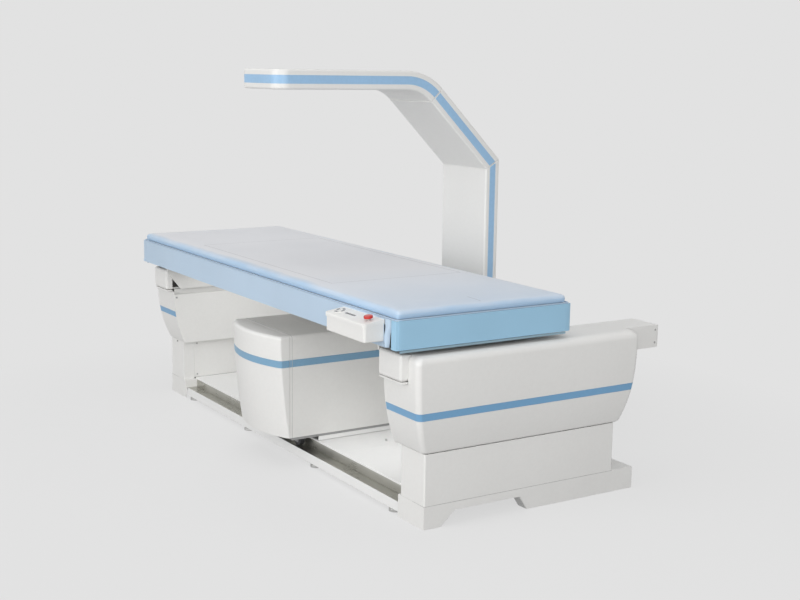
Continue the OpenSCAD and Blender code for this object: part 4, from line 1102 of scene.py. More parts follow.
@dataclass
class Pedestals:
    """The two flared pedestals, with their stripes, panels and beams."""

    inner_x: float = 812.3 * MM
    foot_x: float = 966 * MM
    foot_half: float = 374 * MM
    flare_out: float = 31 * MM
    flare_ends: float = 44 * MM
    low: float = 230.8 * MM
    high: float = 530 * MM
    foot_round: float = 8 * MM
    top_round: float = 25 * MM
    corner: float = 15 * MM
    stripe: tuple[float, float] = (339 * MM, 362 * MM)
    groove: float = 1.0 * MM
    wall: float = 4 * MM
    slot: EndBox = EndBox((802.3, 945.3), (-600, 600), (443.3, 600))
    cap: EndBox = EndBox((821, 945), (-443.5, -416.5), (451, 531))
    cap_round: float = 9 * MM
    cap_rim: float = 10 * MM
    cap_crown: float = 1.5 * MM
    lip: EndBox = EndBox((820, 946), (-441, -417), (445, 449.8))
    lip_round: float = 8 * MM
    rear: EndBox = EndBox((824, 942), (540.15, 546), (454, 528))
    rear_round: float = 4 * MM
    strip: EndBox = EndBox((826, 828), (-408, 408), (405, 451))
    screw_radius: float = 3.6 * MM
    screw_span: tuple[float, float] = (-1 * MM, 1.3 * MM)
    screw_rim: float = 1.7 * MM
    screw_recess: float = 1.1 * MM
    screw_margin: float = 12 * MM
    panels: tuple[tuple[str, float], ...] = (("upper_panels", 809 * MM), ("lower_panels", 835 * MM))
    beam_end: tuple[float, float] = (942 * MM, 532 * MM)
    beam_screws: tuple[float, float] = (470 * MM, 512 * MM)

    def level(self, z: float) -> tuple[float, float, float]:
        """Give the shell's outline at a height.

        Args:
            z: The height.

        Returns:
            The height, the outline's depth along X and its length along Y.
        """
        part = (z - self.low) / (self.high - self.low)
        flare = 1 - (1 - part) ** 3
        drop = 0.0
        above, below = z - self.high + self.top_round, self.low + self.foot_round - z
        if above > 0:
            drop = self.top_round - math.sqrt(max(self.top_round**2 - above**2, 0))
        if below > 0:
            drop = self.foot_round - math.sqrt(max(self.foot_round**2 - below**2, 0))
        depth = self.foot_x + self.flare_out * flare - drop - self.inner_x
        return z, depth, 2 * (self.foot_half + self.flare_ends * flare - drop)

    def heights(self) -> list[float]:
        """Give the heights at which the shell gets an outline.

        Returns:
            The heights, from the foot up.
        """
        rolled = [self.high - self.top_round * (1 - math.sin(math.radians(a))) for a in range(0, 91, 10)]
        foot = [self.low + self.foot_round * (1 - math.cos(math.radians(a))) for a in (0, 22, 45, 67, 90)]
        low_side = [foot[-1] + (self.stripe[0] - foot[-1]) * i / 8 for i in range(1, 9)]
        high_side = [self.stripe[1] + (rolled[0] - self.stripe[1]) * i / 9 for i in range(9)]
        return foot + low_side + high_side + rolled

    def skin(self) -> Work:
        """Model the right shell's outer skin, grooved for its stripe and open to the inside.

        Returns:
            The skin.
        """
        levels = [self.level(z) for z in self.heights()]
        z, depth, length = levels[0]
        work = Work.plate(
            "upper_shell_right_cover", (self.inner_x, -length / 2, z), (self.inner_x + depth, length / 2, z)
        )
        work.pick(Pick.VERT, lambda co: co.x > self.inner_x + TINY).bevel(self.corner, 8, corners=True)
        bpy.ops.mesh.select_all(action="SELECT")
        for step in levels[1:]:
            work.extrude(0, 0, step[0] - z)
            work.resize((step[1] / depth, step[2] / length, 1), (self.inner_x, 0, step[0]))
            z, depth, length = step
        work.face_out()
        low, high = self.stripe
        work.pick(
            Pick.FACE, lambda c, n: low < c.z < high and abs(n.z) < 0.5 and c.x > self.inner_x + TINY
        ).swell(-self.groove)
        work.pick(Pick.FACE, lambda c, n: abs(c.x - self.inner_x) < TINY).delete()
        return work.rest()

    def shell(self, skin: Work, side: Side) -> None:
        """Give a skin its wall, its stripe and the slot for the beam.

        Args:
            skin: The shell's skin.
            side: The end that it stands at.
        """
        label = side.name.lower()
        stripe = stripe_from(skin, f"shell_stripe_{label}", self.stripe, self.groove)
        stripe.finish(Body.BASE, BLUE, ["shell_stripes"])
        skin.wall(self.wall).cut(Work.block("slot", *self.slot.at(side)))
        skin.finish(Body.BASE, WHITE, [f"upper_shell_{label}"])

    def caps(self) -> None:
        """Model the beams' end caps: cushion-shaped in front with a lip beneath, square and flush behind."""
        parts = []
        for side in Side:
            low, high = self.cap.at(side)
            cap = Work.block("cap", low, high)
            cap.pick(Pick.EDGE, lambda a, b: min(a.y, b.y) < low[1] + NEAR).bevel(self.cap_round, 5).rest()
            cap.pick(Pick.FACE, lambda c, n: n.y < -0.99)
            bpy.ops.mesh.inset(thickness=self.cap_rim)
            middle = ((low[0] + high[0]) / 2, 0, (low[2] + high[2]) / 2)
            cap.extrude(0, -self.cap_crown, 0).resize((0.7, 1, 0.7), middle)
            cap.soften(1.6 * MM, 2, 40)
            low, high = self.lip.at(side)
            lip = Work.block("lip", low, high)
            lip.pick(Pick.EDGE, lambda a, b: abs(a.z - b.z) > NEAR and a.y < low[1] + NEAR)
            lip.bevel(self.lip_round, 4).rest().soften(1.2 * MM, 2, 40)
            low, high = self.rear.at(side)
            rear = Work.block("rear", low, high)
            rear.pick(Pick.EDGE, lambda a, b: min(a.y, b.y) > high[1] - NEAR).bevel(self.rear_round, 2)
            parts += [cap, lip, rear.rest().soften(0.5 * MM, 2, 30)]
        Work.union("beam_end_caps", parts).finish(Body.BASE, WHITE, ["beam_caps"])

    def lips(self) -> None:
        """Model the sheet strips that close the slot between the inner panels and the runners."""
        for side in Side:
            strip = Work.block(f"slot_strip_{side.name.lower()}", *self.strip.at(side))
            strip.soften(0.6 * MM, 2).finish(Body.BASE, GREY)

    def screw(self) -> Work:
        """Model one pan-head screw at the origin, with its head towards X.

        Returns:
            The screw's head.
        """
        low, high = self.screw_span
        head = Work.rod("screw_head", (low, 0, 0), (high, 0, 0), self.screw_radius, 20)
        head.pick(Pick.FACE, lambda c, n: n.x > 0.9)
        bpy.ops.mesh.inset(thickness=self.screw_rim)
        return head.extrude(-self.screw_recess, 0, 0).rest().soften(0.5 * MM, 2, 50)

    def screws(self) -> None:
        """Set the pan-head screws of the inner panels and of the beams' rear ends."""
        places: list[tuple[float, float, float, int]] = []
        for side in Side:
            for node, face in self.panels:
                low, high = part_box(node)
                for y in (low.y + self.screw_margin, high.y - self.screw_margin):
                    for z in (low.z + self.screw_margin, high.z - self.screw_margin):
                        places.append((side.value * face, y, z, -side.value))
            for z in self.beam_screws:
                places.append((side.value * self.beam_end[0], self.beam_end[1], z, side.value))
        head = self.screw()
        heads = []
        for x, y, z, way in places:
            one = head.copy("screw_copy")
            heads.append((one.mirror() if way < 0 else one).shift(x, y, z))
        bpy.data.objects.remove(head.obj)
        Work.union("panel_screws", heads).finish(Body.BASE, ZINC)

    def build(self) -> None:
        """Build both shells and finish the pedestals' pieces."""
        right = self.skin()
        left = right.copy("upper_shell_left_cover").mirror()
        self.shell(right, Side.RIGHT)
        self.shell(left, Side.LEFT)
        round_off("lower_covers", 2.2 * MM, WHITE, 3)
        round_off("lower_panels", 1.0 * MM, GREY)
        round_off("upper_panels", 1.0 * MM, GREY)
        round_off("cross_beams", 1.4 * MM, WHITE)
        self.caps()
        self.lips()
        self.screws()
        round_off("table_rails", 0.8 * MM, STEEL)
        paint_nodes(
            ("pedestal_frames", PRIMER), ("table_motors", DARK), ("leadscrew_left", ZINC),
            ("leadscrew_right", ZINC),
        )


# ---- The scanner and its C-arm ----


@dataclass
class Scanner:
    """The scanner box on its carriage, with the bowed front cover."""

    centre: float = 46 * MM
    half: float = 182.5 * MM
    seam: float = -428 * MM
    front: float = -466 * MM
    bulge: float = 41 * MM
    tuck: float = 30 * MM
    corner: float = 20 * MM
    low: float = 102 * MM
    high: float = 454 * MM
    top_round: float = 12 * MM
    stripe: tuple[float, float] = (347 * MM, 372 * MM)
    groove: float = 1.0 * MM
    wall: float = 4 * MM
    lap: float = 1.5 * MM
    columns: int = 16
    lean_power: float = 1.9
    bead_back: float = 8 * MM
    bead_radius: float = 0.8 * MM
    hem_low: tuple[float, float, float] = (-1.2 * MM, -318 * MM, 78.4 * MM)
    hem_high: tuple[float, float, float] = (1.2 * MM, 366 * MM, 101.6 * MM)
    hem_inset: float = 3 * MM
    side_stripe_end: float = 367 * MM
    side_stripe_half: float = 0.6 * MM
    side_stripe_sunk: float = 0.45 * MM
    side_stripe_gap: float = 0.4 * MM

    def corner_y(self, z: float) -> float:
        """Give the front corners' place along Y at a height."""
        part = min((z - self.low) / (self.high - self.low), 1.0)
        return self.front + self.tuck * (1 - part) ** self.lean_power

    def heights(self) -> list[tuple[float, float]]:
        """Give the heights of the front cover's outlines.

        Returns:
            The heights, from the foot up, each with the outline's inset.
        """
        sides = [(self.low + (self.stripe[0] - self.low) * i / 8, 0.0) for i in range(9)]
        top = self.high - self.top_round
        sides += [(self.stripe[1] + (top - self.stripe[1]) * i / 3, 0.0) for i in range(3)]
        for turn in range(0, 91, 15):
            a = math.radians(turn)
            sides.append((top + self.top_round * math.sin(a), self.top_round * (1 - math.cos(a))))
        return sides

    def front_skin(self) -> Work:
        """Model the front cover's skin: a bowed plan raised in steps that lean out.

        Returns:
            The skin, open at the seam.
        """
        back = self.seam - self.lap
        levels = self.heights()
        front = self.corner_y(self.low)
        work = Work.plate(
            "scanner_front_moulding", (self.centre - self.half, front, self.low),
            (self.centre + self.half, back, self.low), (self.columns, 1),
        )
        for row in range(1, self.columns):
            x = self.centre - self.half + 2 * self.half * row / self.columns
            reach = self.bulge * (1 - ((x - self.centre) / self.half) ** 2)
            work.pick(Pick.VERT, lambda co: abs(co.x - x) < TINY and co.y < back - TINY)
            bpy.ops.transform.translate(value=(0, -reach, 0))
        work.pick(
            Pick.VERT, lambda co: co.y < back - TINY and abs(co.x - self.centre) > self.half - TINY
        ).bevel(self.corner, 7, corners=True)
        work.all()
        bpy.ops.mesh.dissolve_faces()
        z, inset = levels[0]
        for step_z, step_inset in levels[1:]:
            work.pick(Pick.FACE, lambda c, n: c.z > z - TINY and abs(n.z) > 0.9)
            work.extrude(0, 0, step_z - z)
            lean = self.corner_y(step_z) - self.corner_y(z) + step_inset - inset
            half = self.half - inset
            work.resize(((self.half - step_inset) / half, 1, 1), (self.centre, 0, 0))
            work.pick(Pick.VERT, lambda co: co.z > step_z - TINY and co.y < back - TINY)
            bpy.ops.transform.translate(value=(0, lean, 0))
            z, inset = step_z, step_inset
        work.face_out()
        low, high = self.stripe
        work.pick(
            Pick.FACE, lambda c, n: low < c.z < high and abs(n.z) < 0.5 and c.y < back - TINY
        ).swell(-self.groove)
        work.pick(Pick.FACE, lambda c, n: abs(c.y - back) < TINY or c.z < self.low + TINY).delete()
        return work.rest()

    def seam_bead(self) -> None:
        """Run the narrow bead that frames the housing behind its seam."""
        low_x, high_x = self.centre - self.half, self.centre + self.half
        y = self.seam + self.bead_back
        bead = Work.plate("housing_bead", (low_x, self.low, 0), (high_x, self.high, 0))
        bead.pick(Pick.VERT, lambda co: co.y > self.high - TINY).bevel(self.top_round, 6, corners=True)
        bead.outline().pick(Pick.EDGE, lambda a, b: a.y < self.low + TINY and b.y < self.low + TINY)
        bpy.ops.mesh.delete(type="EDGE")
        bead.shape(lambda co: Vector((co.x, y, co.y)))
        bead.tube(self.bead_radius, 2, caps=True).finish(Body.SCANNER, SEAM, angle=60)

    def hems(self) -> None:
        """Hang the strips that close the scanner's sides down to the deck."""
        for side in Side:
            hem = Work.block(f"scanner_hem_{side.name.lower()}", self.hem_low, self.hem_high)
            hem.shift(self.centre + side.value * (self.half - self.hem_inset), 0, 0)
            # The hems wear the lightened deck enamel: painted light, so that the gap under the scanner reads
            # as lit deck and not as shade.
            hem.soften(0.6 * MM, 2).finish(Body.SCANNER, LIGHTENED_DECK)

    def build(self) -> None:
        """Build the front cover with its stripe and finish the scanner's pieces."""
        skin = self.front_skin()
        band = stripe_from(skin, "scanner_stripe_front", self.stripe, self.groove)
        low, high = self.stripe[0] + self.side_stripe_gap, self.stripe[1] - self.side_stripe_gap
        for side in Side:
            x = self.centre + side.value * (self.half - self.side_stripe_sunk)
            part = Work.block(
                "stripe_side", (x - self.side_stripe_half, self.seam, low),
                (x + self.side_stripe_half, self.side_stripe_end, high),
            )
            band.join([part.soften(STRIPE_EDGE, 2)])
        # The scanner's stripe wears the shaded copy of the stripe blue: painted shade.
        band.finish(Body.SCANNER, SHADED_SCANNER_BLUE, ["scanner_stripe"])
        skin.wall(self.wall).soften(0.9 * MM, 2, 50)
        skin.finish(Body.SCANNER, WHITE, ["scanner_front_cover"])
        self.seam_bead()
        self.hems()
        round_off("scanner_housing", 1.3 * MM, GREY, 3)
        round_off("xray_window", 0.6 * MM, GREY)
        paint_nodes(
            ("scanner_carriage", PRIMER), ("guide_blocks", ZINC), ("column_frame", PRIMER),
            ("detector", DARK), ("xray_tank", GREY), ("shutter", ZINC), ("front_roller_left", DARK),
            ("front_roller_right", DARK),
        )


@dataclass
class CArm:
    """The C-shaped arm: one sweep, cut into its three covers, with the trim strip laid in its groove."""

    left: float = -94 * MM
    right: float = 186 * MM
    tip: float = -455 * MM
    tip_round: float = 50 * MM
    under: float = 1262 * MM
    bands: tuple[float, float, float] = (19 * MM, 28 * MM, 19 * MM)
    edge_round: float = 7 * MM
    bend: Vector = field(default_factory=lambda: Vector((0, 0.049, 1.123)))
    inner_radius: float = 139 * MM
    knee_inner: Vector = field(default_factory=lambda: Vector((0, 0.388, 0.981)))
    knee_outer: Vector = field(default_factory=lambda: Vector((0, 0.446, 1.0163)))
    foot: float = 104 * MM
    groove: float = 1.5 * MM
    seam: float = 0.4 * MM
    strip_gap: float = 3.4 * MM
    beads: tuple[float, float] = (3.6 * MM, 2.2 * MM)
    bead_inset: float = 9 * MM
    diagonal: float = 0.42
    column: float = 1.0
    cover_round: float = 1.4 * MM
    detector_low: Vector = field(default_factory=lambda: Vector((0.0077, -0.4003, 1.255)))
    detector_high: Vector = field(default_factory=lambda: Vector((0.0843, 0.0403, 1.268)))

    @property
    def thick(self) -> float:
        """Give the arm's thickness."""
        return sum(self.bands)

    @property
    def bend_normal(self) -> Vector:
        """Give the normal of the radial plane at the bend's end."""
        return Vector((0, 1, -1)).normalized()

    @property
    def knee_normal(self) -> Vector:
        """Give the normal of the mitre plane at the knee, towards the column."""
        run = self.knee_outer - self.knee_inner
        return Vector((0, run.z, -run.y)).normalized()

    def across(self, co: Vector) -> float:
        """Give a point's place through the arm's thickness.

        Args:
            co: The point.

        Returns:
            The place, from 0 inside to 1 outside.
        """
        if (co - self.knee_inner).dot(self.knee_normal) > 0:
            return (co.y - self.knee_inner.y) / (self.knee_outer.y - self.knee_inner.y)
        from_bend = Vector((0, co.y, co.z)) - self.bend
        if from_bend.dot(self.bend_normal) > 0:
            reach = from_bend.dot(Vector((0, 1, 1)).normalized())
        elif co.y > self.bend.y:
            reach = from_bend.length
        else:
            reach = from_bend.z
        return (reach - self.inner_radius) / self.thick

    def sweep(self) -> Work:
        """Model the whole arm as one solid: slab, bend, diagonal and column.

        Returns:
            The solid with its groove.
        """
        low, high = (self.left, self.tip, self.under), (self.right, self.bend.y, self.under)
        work = Work.plate("arm_sweep", low, high)
        work.pick(Pick.VERT, lambda co: co.y < self.tip + TINY).bevel(self.tip_round, 12, corners=True)
        bpy.ops.mesh.select_all(action="SELECT")
        for step in self.bands:
            work.extrude(0, 0, step)
        work.face_out()
        top = self.under + self.thick
        end = self.bend.y - TINY
        work.pick(
            Pick.EDGE,
            lambda a, b: abs(a.z - b.z) < TINY and (a.z > top - TINY or a.z < self.under + TINY)
            and not (a.y > end and b.y > end),
        ).bevel(self.edge_round, 5)
        work.pick(Pick.FACE, lambda c, n: n.y > 0.99 and c.y > end)
        bpy.ops.mesh.spin(steps=10, angle=math.radians(45), center=self.bend, axis=(1, 0, 0))
        normal, mitre = self.bend_normal, self.knee_normal
        work.pick(Pick.FACE, lambda c, n: n.dot(normal) > 0.99 and abs((c - self.bend).dot(normal)) < NEAR)
        work.extrude(0, normal.y * self.diagonal, normal.z * self.diagonal)
        work.bisect(self.knee_inner, mitre, drop=1, fill=True)
        work.pick(
            Pick.FACE, lambda c, n: abs(n.dot(mitre)) > 0.99 and abs((c - self.knee_inner).dot(mitre)) < NEAR
        )
        work.extrude(0, 0, -self.column)
        work.bisect((0, 0, self.foot), (0, 0, -1), drop=1, fill=True)
        work.face_out()
        work.pick(
            Pick.FACE,
            lambda c, n: abs(self.across(c) - 0.5) < 0.25 and c.z > self.foot + TINY and abs(n.z) < 0.99,
        ).swell(-self.groove)
        return work.rest()

    def strip(self, sweep: Work) -> None:
        """Lay the trim strip on the groove's floor, parted at the two joints.

        Args:
            sweep: The whole arm.
        """
        work = sweep.copy("arm_trim_strip")
        inner_left, inner_right = self.left + self.groove, self.right - self.groove

        def on_floor(c: Vector, n: Vector) -> bool:
            """Tell whether a face lies on the groove's floor.

            Args:
                c: The face's centre.
                n: Its normal.

            Returns:
                Whether it does.
            """
            if abs(self.across(c) - 0.5) > 0.19 or c.z < self.foot + TINY:
                return False
            sides = abs(c.x - inner_left) < 0.2 * MM or abs(c.x - inner_right) < 0.2 * MM
            return sides or c.y < self.tip + self.tip_round + TINY

        work.pick(Pick.FACE, lambda c, n: not on_floor(c, n)).delete()
        for point, normal in ((self.bend, self.bend_normal), (self.knee_inner, self.knee_normal)):
            for way in (-1, 1):
                work.bisect(point + normal * (way * self.strip_gap), normal)
            work.pick(
                Pick.FACE, lambda c, n: abs((c - point).dot(normal)) < self.strip_gap - TINY
            ).delete()
        work.modifier("SOLIDIFY", thickness=self.groove - 0.2 * MM, offset=1.0).soften(0.4 * MM, 2, 50)
        work.finish(Body.SCANNER, ARM_BLUE, ["trim_strip"])

    def cover(self, sweep: Work, name: str, cuts: Sequence[tuple[Vector, Vector]], node: str) -> None:
        """Cut one cover out of the sweep.

        Args:
            sweep: The whole arm.
            name: Name of the cover.
            cuts: Points and normals of the planes that end it, each normal away from the cover.
            node: Frame node that it stands for.
        """
        work = sweep.copy(name)
        for point, normal in cuts:
            at = point - normal * self.seam
            work.bisect(at, normal, drop=1, fill=True)
            work.pick(
                Pick.EDGE, lambda a, b: abs((a - at).dot(normal)) < TINY and abs((b - at).dot(normal)) < TINY
            ).bevel(self.cover_round, 3)
        if node == "arm_cover":
            work.cut(Work.block("pocket", self.detector_low, self.detector_high))
        work.finish(Body.SCANNER, WHITE, [node])

    def build(self) -> None:
        """Build the three covers and the strip."""
        sweep = self.sweep()
        self.strip(sweep)
        bend, knee = (self.bend, self.bend_normal), (self.knee_inner, self.knee_normal)
        self.cover(sweep, "arm_cover_moulding", [bend], "arm_cover")
        self.cover(sweep, "diagonal_cover_moulding", [(bend[0], -bend[1]), knee], "diagonal_cover")
        self.cover(sweep, "column_cover_moulding", [(knee[0], -knee[1])], "column_cover")
        reach = self.inner_radius / math.sqrt(2)
        for label, y, z, radius in (
            ("bend", self.bend.y + reach, self.bend.z + reach, self.beads[0]),
            ("knee", self.knee_inner.y, self.knee_inner.z, self.beads[1]),
        ):
            start, end = (self.left + self.bead_inset, y, z), (self.right - self.bead_inset, y, z)
            bead = Work.rod(f"arm_{label}_bead", start, end, radius, 24)
            bead.soften(1.2 * MM, 3).finish(Body.SCANNER, WHITE)
        bpy.data.objects.remove(sweep.obj)


# ---- The table ----


@dataclass
class Table:
    """The table: its frame, pad, skirts and runners."""

    half: float = 970.5 * MM
    front: float = -472.5 * MM
    back: float = 143.5 * MM
    low: float = 637.4 * MM
    high: float = 663.5 * MM
    edge: float = 5 * MM
    corner: float = 14 * MM
    voxel: float = 9 * MM
    swell_cap: float = 3.5 * MM
    pressure: float = 4.0
    frames: int = 20
    welt: float = 2.1 * MM
    welt_out: float = 1.5 * MM
    welt_up: float = 1.2 * MM
    cell: float = 12 * MM
    cloth: float = 1.6 * MM
    hem: float = 9 * MM
    hem_thick: float = 3.0 * MM
    flap: float = 38 * MM
    flap_gap: float = 3 * MM
    # Corners, from the front skirt's end, of the black rubber block behind the flap: painted shade that
    # darkens the gaps beside it.
    shade_block_low: Vector = field(default_factory=lambda: Vector((-46, 5, 1)) * MM)
    shade_block_high: Vector = field(default_factory=lambda: Vector((-2, 7, -9)) * MM)
    turn: float = 7 * MM
    facing: float = 12 * MM
    facing_thick: float = 2.8 * MM
    under_in: tuple[float, float] = (3 * MM, 6 * MM)
    under_down: tuple[float, float] = (-9 * MM, -2 * MM)
    under_end: float = 14 * MM

    def puff(self, work: Work) -> None:
        """Let the pad swell under its cover by a cloth simulation, and keep the result.

        Args:
            work: The pad's plain closed form.
        """
        work.modifier("REMESH", mode="VOXEL", voxel_size=self.voxel)
        start = [vert.co.copy() for vert in work.obj.data.vertices]
        work.wake()
        bpy.ops.object.modifier_add(type="CLOTH")
        cloth = work.obj.modifiers[-1]
        cloth.settings.use_pressure = True
        cloth.settings.uniform_pressure_force = self.pressure
        cloth.settings.effector_weights.gravity = 0.0
        cloth.settings.quality = 3
        for step in range(1, self.frames + 1):
            bpy.context.scene.frame_set(step)
        bpy.ops.object.modifier_apply(modifier=cloth.name)
        for vert, rest in zip(work.obj.data.vertices, start):
            move = vert.co - rest
            if move.length > self.swell_cap:
                move *= self.swell_cap / move.length
            vert.co = rest + move
            vert.co.z = max(vert.co.z, self.low)
        work.all()
        bpy.ops.mesh.vertices_smooth(factor=0.5, repeat=1)
        work.rest()
        work.modifier("SUBSURF", levels=1, render_levels=1)

    def pad(self) -> None:
        """Model the mattress pad: a closed form that is puffed between its welted edges."""
        low, high = (-self.half, self.front, self.low), (self.half, self.back, self.low)
        work = Work.plate("mattress_cushion", low, high)
        work.all().bevel(self.corner, 6, corners=True)
        bpy.ops.mesh.select_all(action="SELECT")
        work.extrude(0, 0, self.high - self.low)
        work.face_out()
        work.pick(Pick.EDGE, lambda a, b: a.z > self.high - TINY and b.z > self.high - TINY)
        work.bevel(self.edge, 4).rest()
        self.puff(work)
        work.finish(Body.TABLE, PAD, ["mattress_pad"], angle=50)

    def piping(self) -> None:
        """Run the welt round the pad's lower edge."""
        z = self.low + self.welt_up
        x = self.half + self.welt_out
        work = Work.plate("pad_welt", (-x, self.front - self.welt_out, z), (x, self.back + self.welt_out, z))
        tube = work.all().bevel(self.corner, 6, corners=True).outline().tube(self.welt, 3)
        tube.finish(Body.TABLE, PIPING, angle=60)

    def hang(self, name: str, run: float, drop: tuple[float, float], law: Callable[[float, float], Vector],
             coat: Finish, node: str) -> None:
        """Hang one skirt from the table's edge.

        Args:
            name: Name of the skirt.
            run: Its length before it was hung.
            drop: Heights of its lower and upper edge.
            law: Place of a point from its run along the skirt and its share of the drop.
            coat: Its finish.
            node: Frame node that it stands for.
        """
        depth = drop[1] - drop[0]
        cells = max(int(run / self.cell), 60)
        work = Work.plate(name, (0, 0, 0), (run, depth, 0), (cells, 10))
        work.shape(lambda co: law(co.x, co.y / depth)).wall(self.cloth).soften(0.5 * MM, 2, 50)
        hem = Work.plate(f"{name}_hem", (0, 0, 0), (run, self.hem, 0), (cells, 3))
        hem.shape(lambda co: law(co.x, 1 - (self.hem - co.y) / depth)).wall(self.hem_thick, 0.35)
        hem.soften(0.9 * MM, 2, 50).finish(Body.TABLE, coat, angle=50)
        work.finish(Body.TABLE, coat, [node], angle=50)

    def side_skirt(self, node: str, way: int) -> None:
        """Hang a long side's skirt.

        Args:
            node: Frame node that it stands for.
            way: -1 for the front, 1 for the back.
        """
        low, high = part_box(node)
        face = low.y if way < 0 else high.y
        run = high.x - low.x - (self.flap if way < 0 else 0.0)

        def law(along: float, down: float) -> Vector:
            """Give the place of a point of the side skirt.

            Args:
                along: Its run along the skirt.
                down: Its share of the drop.

            Returns:
                The place.
            """
            x = low.x + along
            wave = 0.5 * math.sin(along * 7.3) + 0.35 * math.sin(along * 17.9 + 1.0)
            y = face - way * (0.4 + wave * down * 0.8) * MM
            return Vector((x, y, high.z - down * (high.z - low.z)))

        self.hang(f"{node}_vinyl", run, (low.z, high.z), law, SIDE_SKIRT, node)

    def loose_flap(self, node: str) -> None:
        """Hang the front skirt's loose end beside the control box: it curls, and gaps open on both its sides,
        darkened by painted shade: a black rubber block behind them.

        Args:
            node: Frame node of the front skirt.
        """
        low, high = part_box(node)
        near_x, run = high.x - self.flap + self.flap_gap, self.flap - 2 * self.flap_gap

        def law(along: float, down: float) -> Vector:
            """Give the place of a point of the flap.

            Args:
                along: Its run along the flap.
                down: Its share of the drop.

            Returns:
                The place.
            """
            part = along / run
            left = 7.5 * MM * math.sin(down * 7.0 + 0.2) * down**0.8 + 2.5 * MM * down
            right = -15.0 * MM * down**1.5 + 2.0 * MM * math.sin(down * 9.0)
            x = near_x + along + left * (1 - part) + right * part
            bow = 8.0 * MM * math.sin(math.pi * part) * (0.15 + 0.85 * down)
            y = low.y + 1.0 * MM - bow + 12.0 * MM * down * part**3 + 5.0 * MM * down * (1 - part) ** 4
            return Vector((x, y, high.z - down * (high.z - low.z - 2 * MM)))

        self.hang("skirt_flap_vinyl", run, (low.z, high.z), law, SIDE_SKIRT, node)
        lowest = Vector((high.x, low.y, low.z)) + self.shade_block_low
        highest = Vector((high.x, low.y, high.z)) + self.shade_block_high
        # Painted shade: the black block behind the flap darkens the gaps on both its sides.
        Work.block("flap_shade_block", lowest, highest).soften(0.8 * MM, 2).finish(Body.TABLE, RUBBER)

    def end_skirt(self, node: str, side: Side) -> None:
        """Hang an end's skirt, with its two short returns round the corners.

        Args:
            node: Frame node that it stands for.
            side: The end that it hangs at.
        """
        low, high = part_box(node)
        sign = side.value
        outer = high.x if sign > 0 else low.x
        back = abs(high.x - low.x)
        turn = self.turn
        arc = turn * math.pi / 2
        leg = back - turn
        span = high.y - low.y - 2 * turn
        run = 2 * leg + 2 * arc + span

        def law(along: float, down: float) -> Vector:
            """Give the place of a point of the end skirt.

            Args:
                along: Its run round the end, from the front return to the rear one.
                down: Its share of the drop.

            Returns:
                The place.
            """
            s = min(along, run - along)
            if s < leg:
                x, y = back - s, 0.0
            elif s < leg + arc:
                a = (s - leg) / turn
                x, y = turn * (1 - math.sin(a)), turn * (1 - math.cos(a))
            else:
                x, y = 0.0, turn + s - leg - arc
            if y > turn:
                x += (0.5 + 0.5 * math.sin(along * 15.0)) * 0.9 * MM * down
            x_place = outer - sign * x
            y_place = low.y + y if along < run / 2 else high.y - y
            return Vector((x_place, y_place, high.z - down * (high.z - low.z)))

        coat = SKIRT if side is Side.RIGHT else SIDE_SKIRT
        self.hang(f"{node}_vinyl", run, (low.z, high.z), law, coat, node)
        depth = high.z - low.z
        for label, start in (("near", leg + arc), ("far", run - leg - arc - self.facing)):
            end = (start + self.facing, depth, 0)
            band = Work.plate(f"{node}_facing_{label}", (start, 0, 0), end, (4, 8))
            band.shape(lambda co: law(co.x, co.y / depth)).wall(self.facing_thick, 0.3)
            band.soften(0.6 * MM, 2, 50).finish(Body.TABLE, coat, angle=50)
        xs = sorted(outer - sign * inset for inset in self.under_in)
        under = Work.block(
            f"{node}_under_strip", (xs[0], low.y + self.under_end, low.z + self.under_down[0]),
            (xs[1], high.y - self.under_end, low.z + self.under_down[1]),
        )
        under.soften(0.8 * MM, 2).finish(Body.TABLE, TEAL)

    def build(self) -> None:
        """Build the pad and the skirts and finish the table's pieces."""
        self.pad()
        self.piping()
        self.side_skirt("skirt_front", -1)
        self.loose_flap("skirt_front")
        self.side_skirt("skirt_rear", 1)
        self.end_skirt("skirt_left", Side.LEFT)
        self.end_skirt("skirt_right", Side.RIGHT)
        round_off("table_frame", 0.8 * MM, PRIMER)
        round_off("table_runners", 0.8 * MM, GREY)
        round_off("bearing_blocks", 0.8 * MM, ZINC)
        paint_nodes(("tabletop", GREY))


